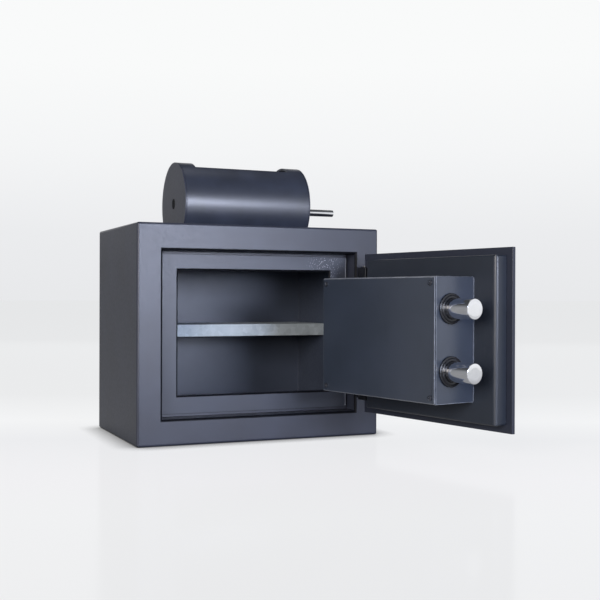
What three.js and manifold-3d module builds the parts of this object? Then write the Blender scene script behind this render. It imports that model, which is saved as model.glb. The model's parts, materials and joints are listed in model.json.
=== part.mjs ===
// Small deposit safe: a double-walled steel body with an inset door, and on its roof a hopper
// whose rotary drum drops deposits into the body. The door stands open with its bolts thrown.
// Millimetres, +Z up, the front faces -Y. The origin is the middle of the base.
import * as THREE from 'three';
import { mergeVertices } from 'three/addons/utils/BufferGeometryUtils.js';
import Module from 'manifold-3d';

const wasm = await Module();
wasm.setup();

// Body
const bodyWidth = 362;
const bodyDepth = 234;
const bodyHeight = 302.5;
const bodyEdgeRadius = 3.5;
const shellWall = 3;
const latchBorder = 35.5;
const hingeBorder = 37;
const sillBorder = 36;
const headBorder = 37;
const rebateDepth = 25;
const backThickness = 32;
const linerWall = 1.5;
const linerInset = 3;

// Door frame, seated on a flange at the back of the rebate
const frameWall = 3;
const frameSideGap = 3;
const frameEndGap = 4;
const frameLatchWidth = 25.5;
const frameHingeWidth = 27.5;
const frameSillWidth = 25;
const frameHeadWidth = 22;
const frameLipDepth = 12;
const seatWidth = 12;

// Shelf on two ledges
const shelfTop = 161.5;
const shelfSetback = 100;
const shelfWall = 1.5;
const shelfLip = 18;
const shelfReturn = 8;
const shelfSideGap = 0.6;
const shelfBackGap = 2;
const ledgeWidth = 15;
const ledgeWall = 1.5;
const ledgeFrontSetback = 6;

// Floor anchor holes and their plugs
const anchorRadius = 6;
const anchorSpacing = 180;
const anchorCapRadius = 10;
const anchorCapHeight = 2;
const anchorRecess = 1;

// Hopper on the roof
const hopperRadius = 61;
const hopperAxisRise = 36;
const hopperLength = 193.5;
const hopperWall = 3;
const hopperEndWall = 2;
const hopperBand = 24;
const windowFrontAngle = 30.5;
const windowRearAngle = 60;

// Rotary drum inside the hopper
const drumGap = 2;
const drumWall = 2;
const drumEndWall = 3;
const drumEndGap = 2;
const pocketSetback = 2.5;
const drumTurn = 180;
const pivotRadius = 5;
const pivotHeadRadius = 7.5;
const pivotHeadDepth = 1.2;
const pivotSlotWidth = 2;
const pivotSlotLength = 12;
const bushWall = 2;
const bushFlange = 2.5;
const bushFlangeWall = 1.2;
const drumShaftReach = 3;
const pinRadius = 5.2;
const pinOffset = 36;
const pinDrop = 8;
const pinReach = 48.5;
const pinEdge = 0.8;
const pinStudRadius = 3;
const pinSlotGap = 1;

// Drop chute through the roof, with a toothed strip on each long side
const chuteHalfWidth = 45;
const chuteWall = 1.5;
const chuteDrop = 1;
const combBand = 6;
const combTooth = 7;
const combTeeth = 12;
const combWall = 1.5;

// Hinges
const hingeSideOffset = 13.3;
const hingeStandOff = 9.8;
const knuckleRadius = 8;
const hingeHeight = 60;
const doorKnuckleHeight = 24;
const knuckleGap = 0.5;
const hingeEndInset = 18.5;
const hingePinRadius = 4;
const hingePinHead = 2;
const leafWall = 3.5;
const leafReach = 30;
const padLatchReach = 9.6;
const padOuterReach = 16;
const doorOpenAngle = 101.2;

// Door leaf
const doorGap = 1.5;
const plateWall = 5;
const panDepth = 18.6;
const panWall = 2;
const panHingeInset = 25;
const panFreeInset = 9.5;
const panEndInset = 9.5;
const panEdgeRadius = 3.5;
const panSideRadius = 6;
const barInset = 4.6;
const barHeight = 187;
const barEdgeRadius = 7;

// Lock case on the pan, whose hinge side leans out past its foot
const caseFootInset = 32;
const caseHingeInset = 12;
const caseLatchInset = 47;
const caseHeight = 155;
const caseTop = 80.8;
const caseWall = 2;
const caseLug = 15;
const caseLugDepth = 8;
const caseFlange = 10;
const coverWall = 1.6;
const coverInset = 0.8;
const screwInset = 8;
const screwRadius = 2;
const screwHeadRadius = 3.4;
const screwHeadHeight = 1.8;
const screwLength = 8;
const screwSlotWidth = 1;

// Bolts and the works that move them
const boltRadius = 12.5;
const boltSpacing = caseHeight * 0.493;
const boltAxisDepth = 57;
const boltTipInset = 5.5;
const boltChamfer = 0.6;
const boltThrow = 33;
const boltStudRadius = 5;
const guideRadius = 19;
const guideFlange = 2.2;
const guideCollarRadius = 16.5;
const guideCollar = 1.6;
const guideShankWall = 3;
const guideShank = 8;
const barWidth = 14;
const barThickness = 16;
const barOverhang = 18;
const barGuideGap = 22;
const yokeWall = 4;
const yokeHeadRise = 34;
const yokeHeadDrop = 4;
const yokeHeadLength = 37;
const yokeTailLow = 10;
const yokeTailHigh = 26;
const yokeTailReach = 14;
const yokeScrewRadius = 2.5;
const drivePinRadius = 4;
const slidePlay = 1;
const slotEndPlay = 1;

// Spindle and knob
const spindleInset = 136.5;
const spindleRadius = 6;
const spindleStudRadius = 4;
const armWall = 5;
const armRadius = 10;
const armGap = 1.7;
const roseRadius = 26;
const roseHeight = 4;
const knobGap = 0.6;
const knobNeckRadius = 13;
const knobNeckHeight = 10;
const knobRadius = 29;
const knobHeight = 22;
const knobLobes = 3;
const knobLobeShare = 0.13;
const knobEdge = 3;
const spindleSocket = 24;
const capRadius = 9;
const capHeight = 1.6;

// Key lock, its cam and its own small bolt
const keyInset = 188.5;
const keyDrop = 20;
const plugRadius = 7;
const keywayWidth = 2.6;
const keywayHeight = 9;
const keywayDepth = 12;
const lockHalfWidth = 26;
const lockRise = 24;
const lockFall = 24;
const lockWall = 2;
const lockBackGap = 1.3;
const camRadius = 9;
const camWall = 4;
const camPinRadius = 2;
const lockBoltThrow = 8;
const lockBoltHalfWidth = 5;
const lockBoltBodyHalfWidth = 14;
const lockBoltShoulder = 12;
const lockBoltFoot = 16;
const lockBoltProud = 5;
const notchDepth = 10;
const lockPlay = 0.5;

// Keyhole plate and the cover that swings on it
const escutcheonRadius = 15;
const escutcheonHeight = 3;
const coverPivotRise = 22;
const coverPivotBoss = 6;
const coverDiscRadius = 10;
const keyCoverWall = 2;
const rivetRadius = 2;
const rivetHeadRadius = 4;
const rivetHeadHeight = 1.4;

// Gaps, cutter overrun and how finely round shapes are cut
const fit = 0.3;
const runGap = 0.4;
const overrun = 6;
const arcSteps = 72;
const roundSteps = 32;
const smallSteps = 20;
const edgeSteps = 3;

// Finishes
const paint = { color: 0x3b3f49, roughness: 0.48, metalness: 0.25 };
const paintInside = { color: 0x343944, roughness: 0.55, metalness: 0.2 };
const galvanised = { color: 0x8d969e, roughness: 0.45, metalness: 0.7 };
const chrome = { color: 0xd8dade, roughness: 0.12, metalness: 1 };
const steel = { color: 0x9a9da1, roughness: 0.35, metalness: 0.9 };
const blackPlastic = { color: 0x17181b, roughness: 0.5, metalness: 0 };
const brass = { color: 0xb08d4a, roughness: 0.35, metalness: 0.9 };
const mineral = { color: 0xb9b4a8, roughness: 0.95, metalness: 0 };

// Places worked out from the sizes above
const faceY = -bodyDepth / 2;
const backY = bodyDepth / 2;
const sideX = bodyWidth / 2;
const openLeft = -sideX + latchBorder;
const openRight = sideX - hingeBorder;
const openBottom = sillBorder;
const openTop = bodyHeight - headBorder;
const seatFrontY = faceY + rebateDepth + frameWall + fit;
const seatBackY = seatFrontY + shellWall;
const linerLeft = openLeft + linerInset;
const linerRight = openRight - linerInset;
const linerBottom = openBottom + linerInset;
const linerTop = openTop - linerInset;
const linerFrontY = seatBackY + fit;
const linerBackY = backY - backThickness;
const hopperZ = bodyHeight + hopperAxisRise;
const chuteHalfLength = hopperLength / 2 - hopperEndWall;
const hingeX = openRight + hingeSideOffset;
const hingeY = faceY - hingeStandOff;
const plateHingeX = openRight - doorGap;
const plateWidth = openRight - openLeft - 2 * doorGap;
const plateHalfHeight = (openTop - openBottom) / 2 - doorGap;
const plateInnerY = faceY + plateWall;
const doorMidZ = (openTop + openBottom) / 2;
const boltRise = boltSpacing / 2;
const boltTipS = plateWidth - boltTipInset;
const caseLatchS = plateWidth - caseLatchInset;
const caseFoot = panDepth + fit;
const guideInnerS = caseLatchS - guideShank;
const barLatchS = guideInnerS - barGuideGap;
const barHingeS = barLatchS - barWidth;
const spindleS = plateWidth - spindleInset;
const keyS = plateWidth - keyInset;
const driveArm = boltThrow / Math.SQRT2;
const yokeDepth = boltAxisDepth - barThickness / 2 - fit - yokeWall;
const frameLeft = openLeft + frameSideGap;
const frameRight = openRight - frameSideGap;
const frameBottom = openBottom + frameEndGap;
const frameTop = openTop - frameEndGap;
const passLeft = frameLeft + frameLatchWidth;
const passRight = frameRight - frameHingeWidth;
const passBottom = frameBottom + frameSillWidth;
const passTop = frameTop - frameHeadWidth;

// Turns a closed three.js geometry into a solid for joining and cutting
function solidOf(geometry) {
  geometry.deleteAttribute('normal');
  geometry.deleteAttribute('uv');
  const merged = mergeVertices(geometry);
  return new wasm.Manifold(new wasm.Mesh({
    numProp: 3,
    vertProperties: new Float32Array(merged.attributes.position.array),
    triVerts: new Uint32Array(merged.index.array),
  }));
}

// Turns a finished solid back into a three.js geometry
function geometryOf(solid) {
  const cutMesh = solid.getMesh();
  const geometry = new THREE.BufferGeometry();
  geometry.setAttribute('position', new THREE.BufferAttribute(cutMesh.vertProperties, 3));
  geometry.setIndex(new THREE.BufferAttribute(cutMesh.triVerts, 1));
  geometry.computeVertexNormals();
  return geometry;
}

// Joins any number of solids
function join(first, ...others) {
  return others.reduce((whole, next) => whole.add(next), first);
}

// Cuts any number of solids out of the first
function cut(first, ...others) {
  return others.reduce((whole, next) => whole.subtract(next), first);
}

// Rectangular block between two corners
function block(x0, x1, y0, y1, z0, z1) {
  const box = new THREE.BoxGeometry(x1 - x0, y1 - y0, z1 - z0);
  box.translate((x0 + x1) / 2, (y0 + y1) / 2, (z0 + z1) / 2);
  return solidOf(box);
}

// Turns a solid built along +Z so that it runs along +X or +Y
function lay(geometry, axis) {
  if (axis === 'x') {
    geometry.rotateY(Math.PI / 2);
  }
  if (axis === 'y') {
    geometry.rotateX(-Math.PI / 2);
  }
  return geometry;
}

// Round rod between two places on an axis, through the point (u, v) of the other two axes
function rod(axis, radius, from, to, u, v, steps = roundSteps) {
  const geometry = new THREE.CylinderGeometry(radius, radius, to - from, steps);
  geometry.rotateX(Math.PI / 2);
  lay(geometry, axis);
  const middle = (from + to) / 2;
  const place = { x: [middle, u, v], y: [u, middle, v], z: [u, v, middle] };
  geometry.translate(...place[axis]);
  return solidOf(geometry);
}

// Prism of an (x, z) outline between two places on Y
function prismY(shape, from, to, steps = roundSteps) {
  const settings = { depth: to - from, bevelEnabled: false, curveSegments: steps };
  const geometry = new THREE.ExtrudeGeometry(shape, settings);
  geometry.rotateX(Math.PI / 2);
  geometry.translate(0, to, 0);
  return solidOf(geometry);
}

// Prism of a (y, z) outline between two places on X
function prismX(shape, from, to, steps = roundSteps) {
  const settings = { depth: to - from, bevelEnabled: false, curveSegments: steps };
  const geometry = new THREE.ExtrudeGeometry(shape, settings);
  geometry.rotateX(Math.PI / 2);
  geometry.rotateZ(Math.PI / 2);
  geometry.translate(from, 0, 0);
  return solidOf(geometry);
}

// Prism of an (x, y) outline between two heights
function prismZ(shape, from, to, steps = roundSteps) {
  const settings = { depth: to - from, bevelEnabled: false, curveSegments: steps };
  const geometry = new THREE.ExtrudeGeometry(shape, settings);
  geometry.translate(0, 0, from);
  return solidOf(geometry);
}

// Closed outline through a list of corner points
function outline(points) {
  const shape = new THREE.Shape();
  points.forEach(([a, b], index) => (index === 0 ? shape.moveTo(a, b) : shape.lineTo(a, b)));
  shape.closePath();
  return shape;
}

// Rectangle with rounded corners
function roundedRectangle(x0, x1, y0, y1, radius) {
  const shape = new THREE.Shape();
  shape.moveTo(x0 + radius, y0);
  shape.lineTo(x1 - radius, y0);
  shape.absarc(x1 - radius, y0 + radius, radius, -Math.PI / 2, 0, false);
  shape.absarc(x1 - radius, y1 - radius, radius, 0, Math.PI / 2, false);
  shape.absarc(x0 + radius, y1 - radius, radius, Math.PI / 2, Math.PI, false);
  shape.absarc(x0 + radius, y0 + radius, radius, Math.PI, 3 * Math.PI / 2, false);
  return shape;
}

// Block with every edge rounded; its upright edges may have a radius of their own
function roundedBlock(x0, x1, y0, y1, z0, z1, radius, uprightRadius = radius) {
  const fromAbove = prismZ(roundedRectangle(x0, x1, y0, y1, uprightRadius), z0, z1, edgeSteps);
  const fromFront = prismY(roundedRectangle(x0, x1, z0, z1, radius), y0, y1, edgeSteps);
  const fromSide = prismX(roundedRectangle(y0, y1, z0, z1, radius), x0, x1, edgeSteps);
  return fromAbove.intersect(fromFront).intersect(fromSide);
}

// Turned solid whose (radius, height) profile starts and ends on the axis
function turned(axis, profile, u, v, steps = roundSteps) {
  const points = profile.map(([radius, along]) => new THREE.Vector2(radius, along));
  const geometry = new THREE.LatheGeometry(points, steps);
  geometry.rotateX(Math.PI / 2);
  lay(geometry, axis);
  const place = { x: [0, u, v], y: [u, 0, v], z: [u, v, 0] };
  geometry.translate(...place[axis]);
  return solidOf(geometry);
}

// Door places: s runs from the plate's hinge edge towards its free edge, d from the plate's
// inner face into the safe, and h up from the door's mid height, all with the door closed
const doorX = (s) => plateHingeX - s;
const doorY = (d) => plateInnerY + d;
const doorZ = (h) => doorMidZ + h;

function doorBlock(s0, s1, d0, d1, h0, h1) {
  return block(doorX(s1), doorX(s0), doorY(d0), doorY(d1), doorZ(h0), doorZ(h1));
}

// Rod square to the door
function doorRod(radius, d0, d1, s, h, steps = roundSteps) {
  return rod('y', radius, doorY(d0), doorY(d1), doorX(s), doorZ(h), steps);
}

// Rod along the bolts' line of travel
function throwRod(radius, s0, s1, d, h, steps = roundSteps) {
  return rod('x', radius, doorX(s1), doorX(s0), doorY(d), doorZ(h), steps);
}

// Plate cut to an (s, h) outline and lying parallel to the door
function doorPlate(points, d0, d1) {
  const placed = points.map(([s, h]) => [doorX(s), doorZ(h)]);
  return prismY(outline(placed), doorY(d0), doorY(d1));
}

const safe = new THREE.Group();
const doorSwing = new THREE.Group();
doorSwing.position.set(hingeX, hingeY, 0);
doorSwing.rotation.z = THREE.MathUtils.degToRad(doorOpenAngle);
const doorClosed = new THREE.Group();
doorClosed.position.set(-hingeX, -hingeY, 0);
doorSwing.add(doorClosed);
safe.add(doorSwing);

// Adds one named piece to its group
function add(group, name, solid, finish) {
  const mesh = new THREE.Mesh(geometryOf(solid), new THREE.MeshStandardMaterial(finish));
  mesh.name = name;
  group.add(mesh);
}

// The passage of the drop chute, grown by a margin all round
function chutePassage(margin, z0, z1) {
  const halfLength = chuteHalfLength + margin;
  const halfWidth = chuteHalfWidth + margin;
  return block(-halfLength, halfLength, -halfWidth, halfWidth, z0, z1);
}

// Both anchor holes through the floor
function anchorHoles(radius, z0, z1) {
  const places = [-anchorSpacing / 2, anchorSpacing / 2];
  return join(...places.map((x) => rod('z', radius, z0, z1, x, 0, smallSteps)));
}

// Steel skin with the rebate walls and the flange that the door frame seats on
function outerShell() {
  const skin = roundedBlock(-sideX, sideX, faceY, backY, 0, bodyHeight, bodyEdgeRadius);
  const hollow = block(
    -sideX + shellWall, sideX - shellWall,
    faceY + shellWall, backY - shellWall,
    shellWall, bodyHeight - shellWall,
  );
  const rebate = block(
    openLeft - shellWall, openRight + shellWall,
    faceY + shellWall / 2, seatBackY,
    openBottom - shellWall, openTop + shellWall,
  );
  const mouth = block(openLeft, openRight, faceY - overrun, seatFrontY, openBottom, openTop);
  const seatHole = block(
    openLeft + seatWidth, openRight - seatWidth,
    faceY - overrun, seatBackY + overrun,
    openBottom + seatWidth, openTop - seatWidth,
  );
  return cut(
    join(cut(skin, hollow), rebate),
    mouth,
    seatHole,
    chutePassage(0, bodyHeight - shellWall - overrun, bodyHeight + overrun),
    anchorHoles(anchorRadius, -overrun, shellWall + overrun),
  );
}

// Box that lines the inside, open to the front
function innerLiner() {
  const outside = block(
    linerLeft - linerWall, linerRight + linerWall,
    linerFrontY, linerBackY + linerWall,
    linerBottom - linerWall, linerTop + linerWall,
  );
  const inside = block(linerLeft, linerRight, linerFrontY - overrun, linerBackY, linerBottom, linerTop);
  return cut(
    outside,
    inside,
    chutePassage(chuteWall + fit, linerTop - overrun, linerTop + linerWall + overrun),
    anchorHoles(anchorRadius, linerBottom - linerWall - overrun, linerBottom + overrun),
  );
}

// Mineral fill between the skin and the liner
function wallFilling() {
  const margin = shellWall + fit;
  const whole = block(
    -sideX + margin, sideX - margin,
    faceY + margin, backY - margin,
    margin, bodyHeight - margin,
  );
  const rebate = block(
    openLeft - margin, openRight + margin,
    faceY, seatBackY + fit,
    openBottom - margin, openTop + margin,
  );
  const skinGap = linerWall + fit;
  const liner = block(
    linerLeft - skinGap, linerRight + skinGap,
    faceY, linerBackY + skinGap,
    linerBottom - skinGap, linerTop + skinGap,
  );
  return cut(
    whole,
    rebate,
    liner,
    chutePassage(chuteWall + fit, linerTop, bodyHeight),
    anchorHoles(anchorRadius, 0, linerBottom),
  );
}

// Flat frame round the way in. Its lip is folded inwards, deeper where the bolts lock behind it,
// and stops short of the hinge side, where the lock case swings past.
function doorFrame() {
  const frontY = faceY + rebateDepth;
  const boltFrontY = doorY(boltAxisDepth - boltRadius);
  const sheet = block(frameLeft, frameRight, frontY, frontY + frameWall, frameBottom, frameTop);
  const lip = block(
    passLeft - frameWall, passRight,
    frontY, frontY + frameWall + frameLipDepth,
    passBottom - frameWall, passTop + frameWall,
  );
  const strike = block(
    passLeft - frameWall, passLeft,
    frontY, boltFrontY - 2 * doorGap,
    passBottom - frameWall, passTop + frameWall,
  );
  const pass = block(passLeft, passRight, frontY - overrun, backY, passBottom, passTop);
  return cut(join(sheet, lip, strike), pass);
}

// Folded shelf with a deep front lip
function shelf() {
  const frontY = faceY + shelfSetback;
  const rearY = linerBackY - shelfBackGap;
  const low = shelfTop - shelfLip;
  const profile = outline([
    [frontY, low],
    [frontY + shelfReturn, low],
    [frontY + shelfReturn, low + shelfWall],
    [frontY + shelfWall, low + shelfWall],
    [frontY + shelfWall, shelfTop - shelfWall],
    [rearY, shelfTop - shelfWall],
    [rearY, shelfTop],
    [frontY, shelfTop],
  ]);
  return prismX(profile, linerLeft + shelfSideGap, linerRight - shelfSideGap);
}

// Angle ledge on a side wall; side is -1 for the left wall and 1 for the right
function shelfLedge(side) {
  const wallX = side < 0 ? linerLeft + fit : linerRight - fit;
  const top = shelfTop - shelfWall - fit;
  const reachX = wallX - side * ledgeWidth;
  const skinX = wallX - side * ledgeWall;
  const frontY = faceY + shelfSetback + shelfReturn + ledgeFrontSetback;
  const rearY = linerBackY - shelfBackGap;
  const flat = block(Math.min(wallX, reachX), Math.max(wallX, reachX), frontY, rearY, top - ledgeWall, top);
  const web = block(Math.min(wallX, skinX), Math.max(wallX, skinX), frontY, rearY, top - ledgeWidth, top);
  return join(flat, web);
}

// Cap that closes an anchor hole from inside
function anchorPlug(x) {
  const seat = linerBottom + fit;
  const stem = rod('z', anchorRadius - fit, anchorRecess, seat + anchorCapHeight, x, 0, smallSteps);
  return join(stem, rod('z', anchorCapRadius, seat, seat + anchorCapHeight, x, 0));
}

// Sleeve that lines the drop passage through the roof
function dropChute() {
  const low = linerTop - chuteDrop;
  const high = bodyHeight - shellWall - fit;
  return cut(chutePassage(chuteWall, low, high), chutePassage(0, low - overrun, high + overrun));
}

// Toothed strip under one long side of the chute
function antiFishComb(side) {
  const top = linerTop - fit;
  const root = top - combBand;
  const pitch = 2 * chuteHalfLength / combTeeth;
  const points = [[chuteHalfLength, top], [-chuteHalfLength, top]];
  for (let tooth = 0; tooth < combTeeth; tooth += 1) {
    const start = -chuteHalfLength + tooth * pitch;
    points.push([start, root], [start + pitch / 2, root - combTooth]);
  }
  points.push([chuteHalfLength, root]);
  const near = chuteHalfWidth + chuteWall + fit;
  const inner = side < 0 ? -near - combWall : near;
  return prismY(outline(points), inner, inner + combWall);
}

// Point of a circle in the hopper's end view; the angle runs from the top towards the rear
function aroundDrum(radius, angle) {
  const turn = THREE.MathUtils.degToRad(angle);
  return [radius * Math.sin(turn), hopperZ + radius * Math.cos(turn)];
}

// Sector that opens a drum or hood from the axis outwards, between two angles
function sector(radius, fromAngle, toAngle) {
  const points = [[0, hopperZ]];
  for (let step = 0; step <= edgeSteps; step += 1) {
    points.push(aroundDrum(radius, fromAngle + (toAngle - fromAngle) * step / edgeSteps));
  }
  return outline(points);
}

// Everything below the roof, for cutting the hood and its ends flat
function belowRoof() {
  const reach = hopperLength + overrun;
  return block(-reach, reach, -reach, reach, bodyHeight - reach, bodyHeight + fit);
}

// Rolled hood with the deposit window in its top
function hopperHood() {
  const end = hopperLength / 2 - hopperEndWall - fit;
  const bandInner = hopperLength / 2 - hopperBand;
  const outside = rod('x', hopperRadius, -end, end, 0, hopperZ, arcSteps);
  const inside = rod('x', hopperRadius - hopperWall, -end - overrun, end + overrun, 0, hopperZ, arcSteps);
  const window = prismX(sector(2 * hopperRadius, -windowFrontAngle, windowRearAngle), -bandInner, bandInner);
  return cut(outside, inside, window, belowRoof());
}

// End wall of the hopper; the right one has the curved slot that the drum's pin travels in
function hopperEnd(side) {
  const outer = hopperLength / 2;
  const from = side < 0 ? -outer : outer - hopperEndWall;
  const disc = cut(rod('x', hopperRadius, from, from + hopperEndWall, 0, hopperZ, arcSteps), belowRoof());
  if (side < 0) {
    const hole = rod('x', pivotRadius + fit, from - overrun, from + hopperEndWall + overrun, 0, hopperZ);
    const headSeat = rod('x', pivotHeadRadius + fit, from - overrun, from + pivotHeadDepth + fit, 0, hopperZ);
    return cut(disc, hole, headSeat);
  }
  const bushHole = pivotRadius + runGap + bushWall + fit;
  const hole = rod('x', bushHole, from - overrun, from + hopperEndWall + overrun, 0, hopperZ);
  return cut(disc, hole, pinSlot(from - overrun, from + hopperEndWall + overrun));
}

// Curved slot round the drum's axis, from the pin's rest place over the top to the rear
function pinSlot(x0, x1) {
  const reach = pinRadius + pinSlotGap;
  const startAngle = -90 - pinSink;
  const endAngle = startAngle + drumTurn;
  const ring = cut(
    rod('x', pinOffset + reach, x0, x1, 0, hopperZ, arcSteps),
    rod('x', pinOffset - reach, x0 - overrun, x1 + overrun, 0, hopperZ, arcSteps),
  );
  const span = [];
  for (let step = 0; step <= arcSteps; step += 1) {
    span.push(aroundDrum(2 * hopperRadius, startAngle + (endAngle - startAngle) * step / arcSteps));
  }
  const wedge = prismX(outline([[0, hopperZ], ...span]), x0, x1);
  const ends = [startAngle, endAngle].map((angle) => {
    const [y, z] = aroundDrum(pinOffset, angle);
    return rod('x', reach, x0, x1, y, z);
  });
  return join(ring.intersect(wedge), ...ends);
}

// How far below the axis the pin sits, as an angle
const pinSink = THREE.MathUtils.radToDeg(Math.asin(pinDrop / pinOffset));

// Countersunk pivot screw in the left end wall
function drumPivotScrew() {
  const outer = -hopperLength / 2;
  const inner = -drumHalfLength + drumEndWall;
  const head = rod('x', pivotHeadRadius, outer, outer + pivotHeadDepth, 0, hopperZ);
  const shank = rod('x', pivotRadius, outer, inner, 0, hopperZ);
  const slot = block(
    outer - overrun, outer + pivotHeadDepth / 2,
    -pivotSlotWidth / 2, pivotSlotWidth / 2,
    hopperZ - pivotSlotLength / 2, hopperZ + pivotSlotLength / 2,
  );
  return cut(join(head, shank), slot);
}

// Flanged bush round a pivot; x0 to x1 is its sleeve, and the flange sits at x0
function flangedBush(x0, x1, flangeSide) {
  const radius = pivotRadius + runGap + bushWall;
  const sleeve = rod('x', radius, x0, x1, 0, hopperZ);
  const flangeFrom = flangeSide < 0 ? x0 - bushFlangeWall : x1;
  const flange = rod('x', radius + bushFlange, flangeFrom, flangeFrom + bushFlangeWall, 0, hopperZ);
  const bore = rod('x', pivotRadius + runGap, x0 - overrun, x1 + overrun, 0, hopperZ);
  return cut(join(sleeve, flange), bore);
}

const drumRadius = hopperRadius - hopperWall - drumGap;
const drumHalfLength = hopperLength / 2 - hopperEndWall - drumEndGap;
const drumBushHole = pivotRadius + runGap + bushWall + fit;

// Rolled drum, open along the pocket that faces the window
function drumShell() {
  const end = drumHalfLength - drumEndWall - fit;
  const outside = rod('x', drumRadius, -end, end, 0, hopperZ, arcSteps);
  const inside = rod('x', drumRadius - drumWall, -end - overrun, end + overrun, 0, hopperZ, arcSteps);
  const pocket = sector(2 * hopperRadius, -windowFrontAngle + pocketSetback, windowRearAngle - pocketSetback);
  return cut(outside, inside, prismX(pocket, -end - overrun, end + overrun));
}

// End disc of the drum; the left one holds a bush, the right one a short shaft and the pin's hole
function drumEnd(side) {
  const from = side < 0 ? -drumHalfLength : drumHalfLength - drumEndWall;
  const to = from + drumEndWall;
  const disc = rod('x', drumRadius, from, to, 0, hopperZ, arcSteps);
  if (side < 0) {
    return cut(disc, rod('x', drumBushHole, from - overrun, to + overrun, 0, hopperZ));
  }
  const shaft = rod('x', pivotRadius, from, hopperLength / 2 + drumShaftReach, 0, hopperZ);
  const [y, z] = pinPlace;
  const studHole = rod('x', pinStudRadius + fit, from - overrun, to + overrun, y, z, smallSteps);
  return cut(join(disc, shaft), studHole);
}

const pinPlace = aroundDrum(pinOffset, -90 - pinSink);

// Bright pin that the drum is turned by
function drumHandle() {
  const root = drumHalfLength + fit;
  const tip = hopperLength / 2 + pinReach;
  const [y, z] = pinPlace;
  return turned('x', [
    [0, root - drumEndWall],
    [pinStudRadius, root - drumEndWall],
    [pinStudRadius, root],
    [pinRadius, root],
    [pinRadius, tip - pinEdge],
    [pinRadius - pinEdge, tip],
    [0, tip],
  ], y, z);
}

// Body half of a hinge: a pad welded to the face with a knuckle at its top and bottom
function hingeBracket(baseZ) {
  const top = baseZ + hingeHeight;
  const gapLow = baseZ + (hingeHeight - doorKnuckleHeight) / 2 - knuckleGap;
  const gapHigh = top - (hingeHeight - doorKnuckleHeight) / 2 + knuckleGap;
  const pad = block(
    hingeX - padLatchReach, hingeX + padOuterReach,
    faceY - fit - leafWall, faceY - fit,
    baseZ, top,
  );
  const barrel = rod('z', knuckleRadius, baseZ, top, hingeX, hingeY);
  const web = block(hingeX - knuckleRadius / 2, hingeX + knuckleRadius / 2, hingeY, faceY - fit, baseZ, top);
  const window = block(
    hingeX - padLatchReach - overrun, hingeX + knuckleRadius + knuckleGap,
    hingeY - knuckleRadius - overrun, faceY + overrun,
    gapLow, gapHigh,
  );
  const bore = rod('z', hingePinRadius + fit, baseZ - overrun, top + overrun, hingeX, hingeY);
  return cut(join(pad, barrel, web), window, bore);
}

// Door half of a hinge: the middle knuckle on a leaf that lies on the plate's outer face
function hingeLeaf(baseZ) {
  const low = baseZ + (hingeHeight - doorKnuckleHeight) / 2;
  const high = low + doorKnuckleHeight;
  const barrel = rod('z', knuckleRadius, low, high, hingeX, hingeY);
  const leaf = block(doorX(leafReach), hingeX, faceY - fit - leafWall, faceY - fit, low, high);
  const bore = rod('z', hingePinRadius + runGap, low - overrun, high + overrun, hingeX, hingeY);
  return cut(join(barrel, leaf), bore);
}

// Hinge pin with a flat head
function hingePin(baseZ) {
  const top = baseZ + hingeHeight + fit;
  const shank = rod('z', hingePinRadius, baseZ, top, hingeX, hingeY);
  return join(shank, rod('z', hingePinRadius + hingePinHead, top, top + hingePinHead, hingeX, hingeY));
}

// Outer door plate
function doorPlateSheet() {
  const sheet = doorBlock(0, plateWidth, -plateWall, 0, -plateHalfHeight, plateHalfHeight);
  return cut(
    sheet,
    doorRod(spindleRadius + runGap, -plateWall - overrun, overrun, spindleS, 0),
    doorRod(plugRadius + runGap, -plateWall - overrun, overrun, keyS, -keyDrop),
  );
}

// Raised inner tray of the door, with rounded edges
function doorPan() {
  const half = plateHalfHeight - panEndInset;
  const freeS = plateWidth - panFreeInset;
  const outside = roundedBlock(
    doorX(freeS), doorX(panHingeInset),
    doorY(-panSideRadius), doorY(panDepth),
    doorZ(-half), doorZ(half),
    panEdgeRadius, panSideRadius,
  );
  const plateSide = doorBlock(0, plateWidth, -plateWall - overrun, fit, -plateHalfHeight, plateHalfHeight);
  const insideRadius = panSideRadius - panWall;
  const inside = prismZ(
    roundedRectangle(
      doorX(freeS - panWall), doorX(panHingeInset + panWall),
      doorY(-insideRadius - overrun), doorY(panDepth - panWall),
      insideRadius,
    ),
    doorZ(-half + panWall), doorZ(half - panWall), edgeSteps,
  );
  return cut(
    outside,
    plateSide,
    inside,
    doorRod(spindleBushRadius + fit, -overrun, panDepth + overrun, spindleS, 0),
    doorRod(plugRadius + runGap, -overrun, panDepth + overrun, keyS, -keyDrop),
  );
}

const spindleBushRadius = spindleRadius + runGap + bushWall;

// Fill inside the tray
function doorCore() {
  const margin = panWall + fit;
  const half = plateHalfHeight - panEndInset - margin;
  const fill = prismZ(
    roundedRectangle(
      doorX(plateWidth - panFreeInset - margin), doorX(panHingeInset + margin),
      doorY(fit), doorY(panDepth - margin),
      panSideRadius - margin,
    ),
    doorZ(-half), doorZ(half), edgeSteps,
  );
  return cut(
    fill,
    doorRod(spindleBushRadius + fit, -overrun, panDepth + overrun, spindleS, 0),
    doorRod(plugRadius + runGap, -overrun, panDepth + overrun, keyS, -keyDrop),
  );
}

// Bar along the hinge side that closes behind the rebate, with one rounded edge
function hingeSideBar() {
  const x0 = doorX(panHingeInset - fit);
  const x1 = doorX(barInset);
  const y0 = doorY(fit);
  const y1 = doorY(panDepth);
  const shape = new THREE.Shape();
  shape.moveTo(x0, y0);
  shape.lineTo(x1, y0);
  shape.lineTo(x1, y1 - barEdgeRadius);
  shape.absarc(x1 - barEdgeRadius, y1 - barEdgeRadius, barEdgeRadius, 0, Math.PI / 2, false);
  shape.lineTo(x0, y1);
  shape.closePath();
  return prismZ(shape, doorZ(-barHeight / 2), doorZ(barHeight / 2), smallSteps / 2);
}

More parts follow.
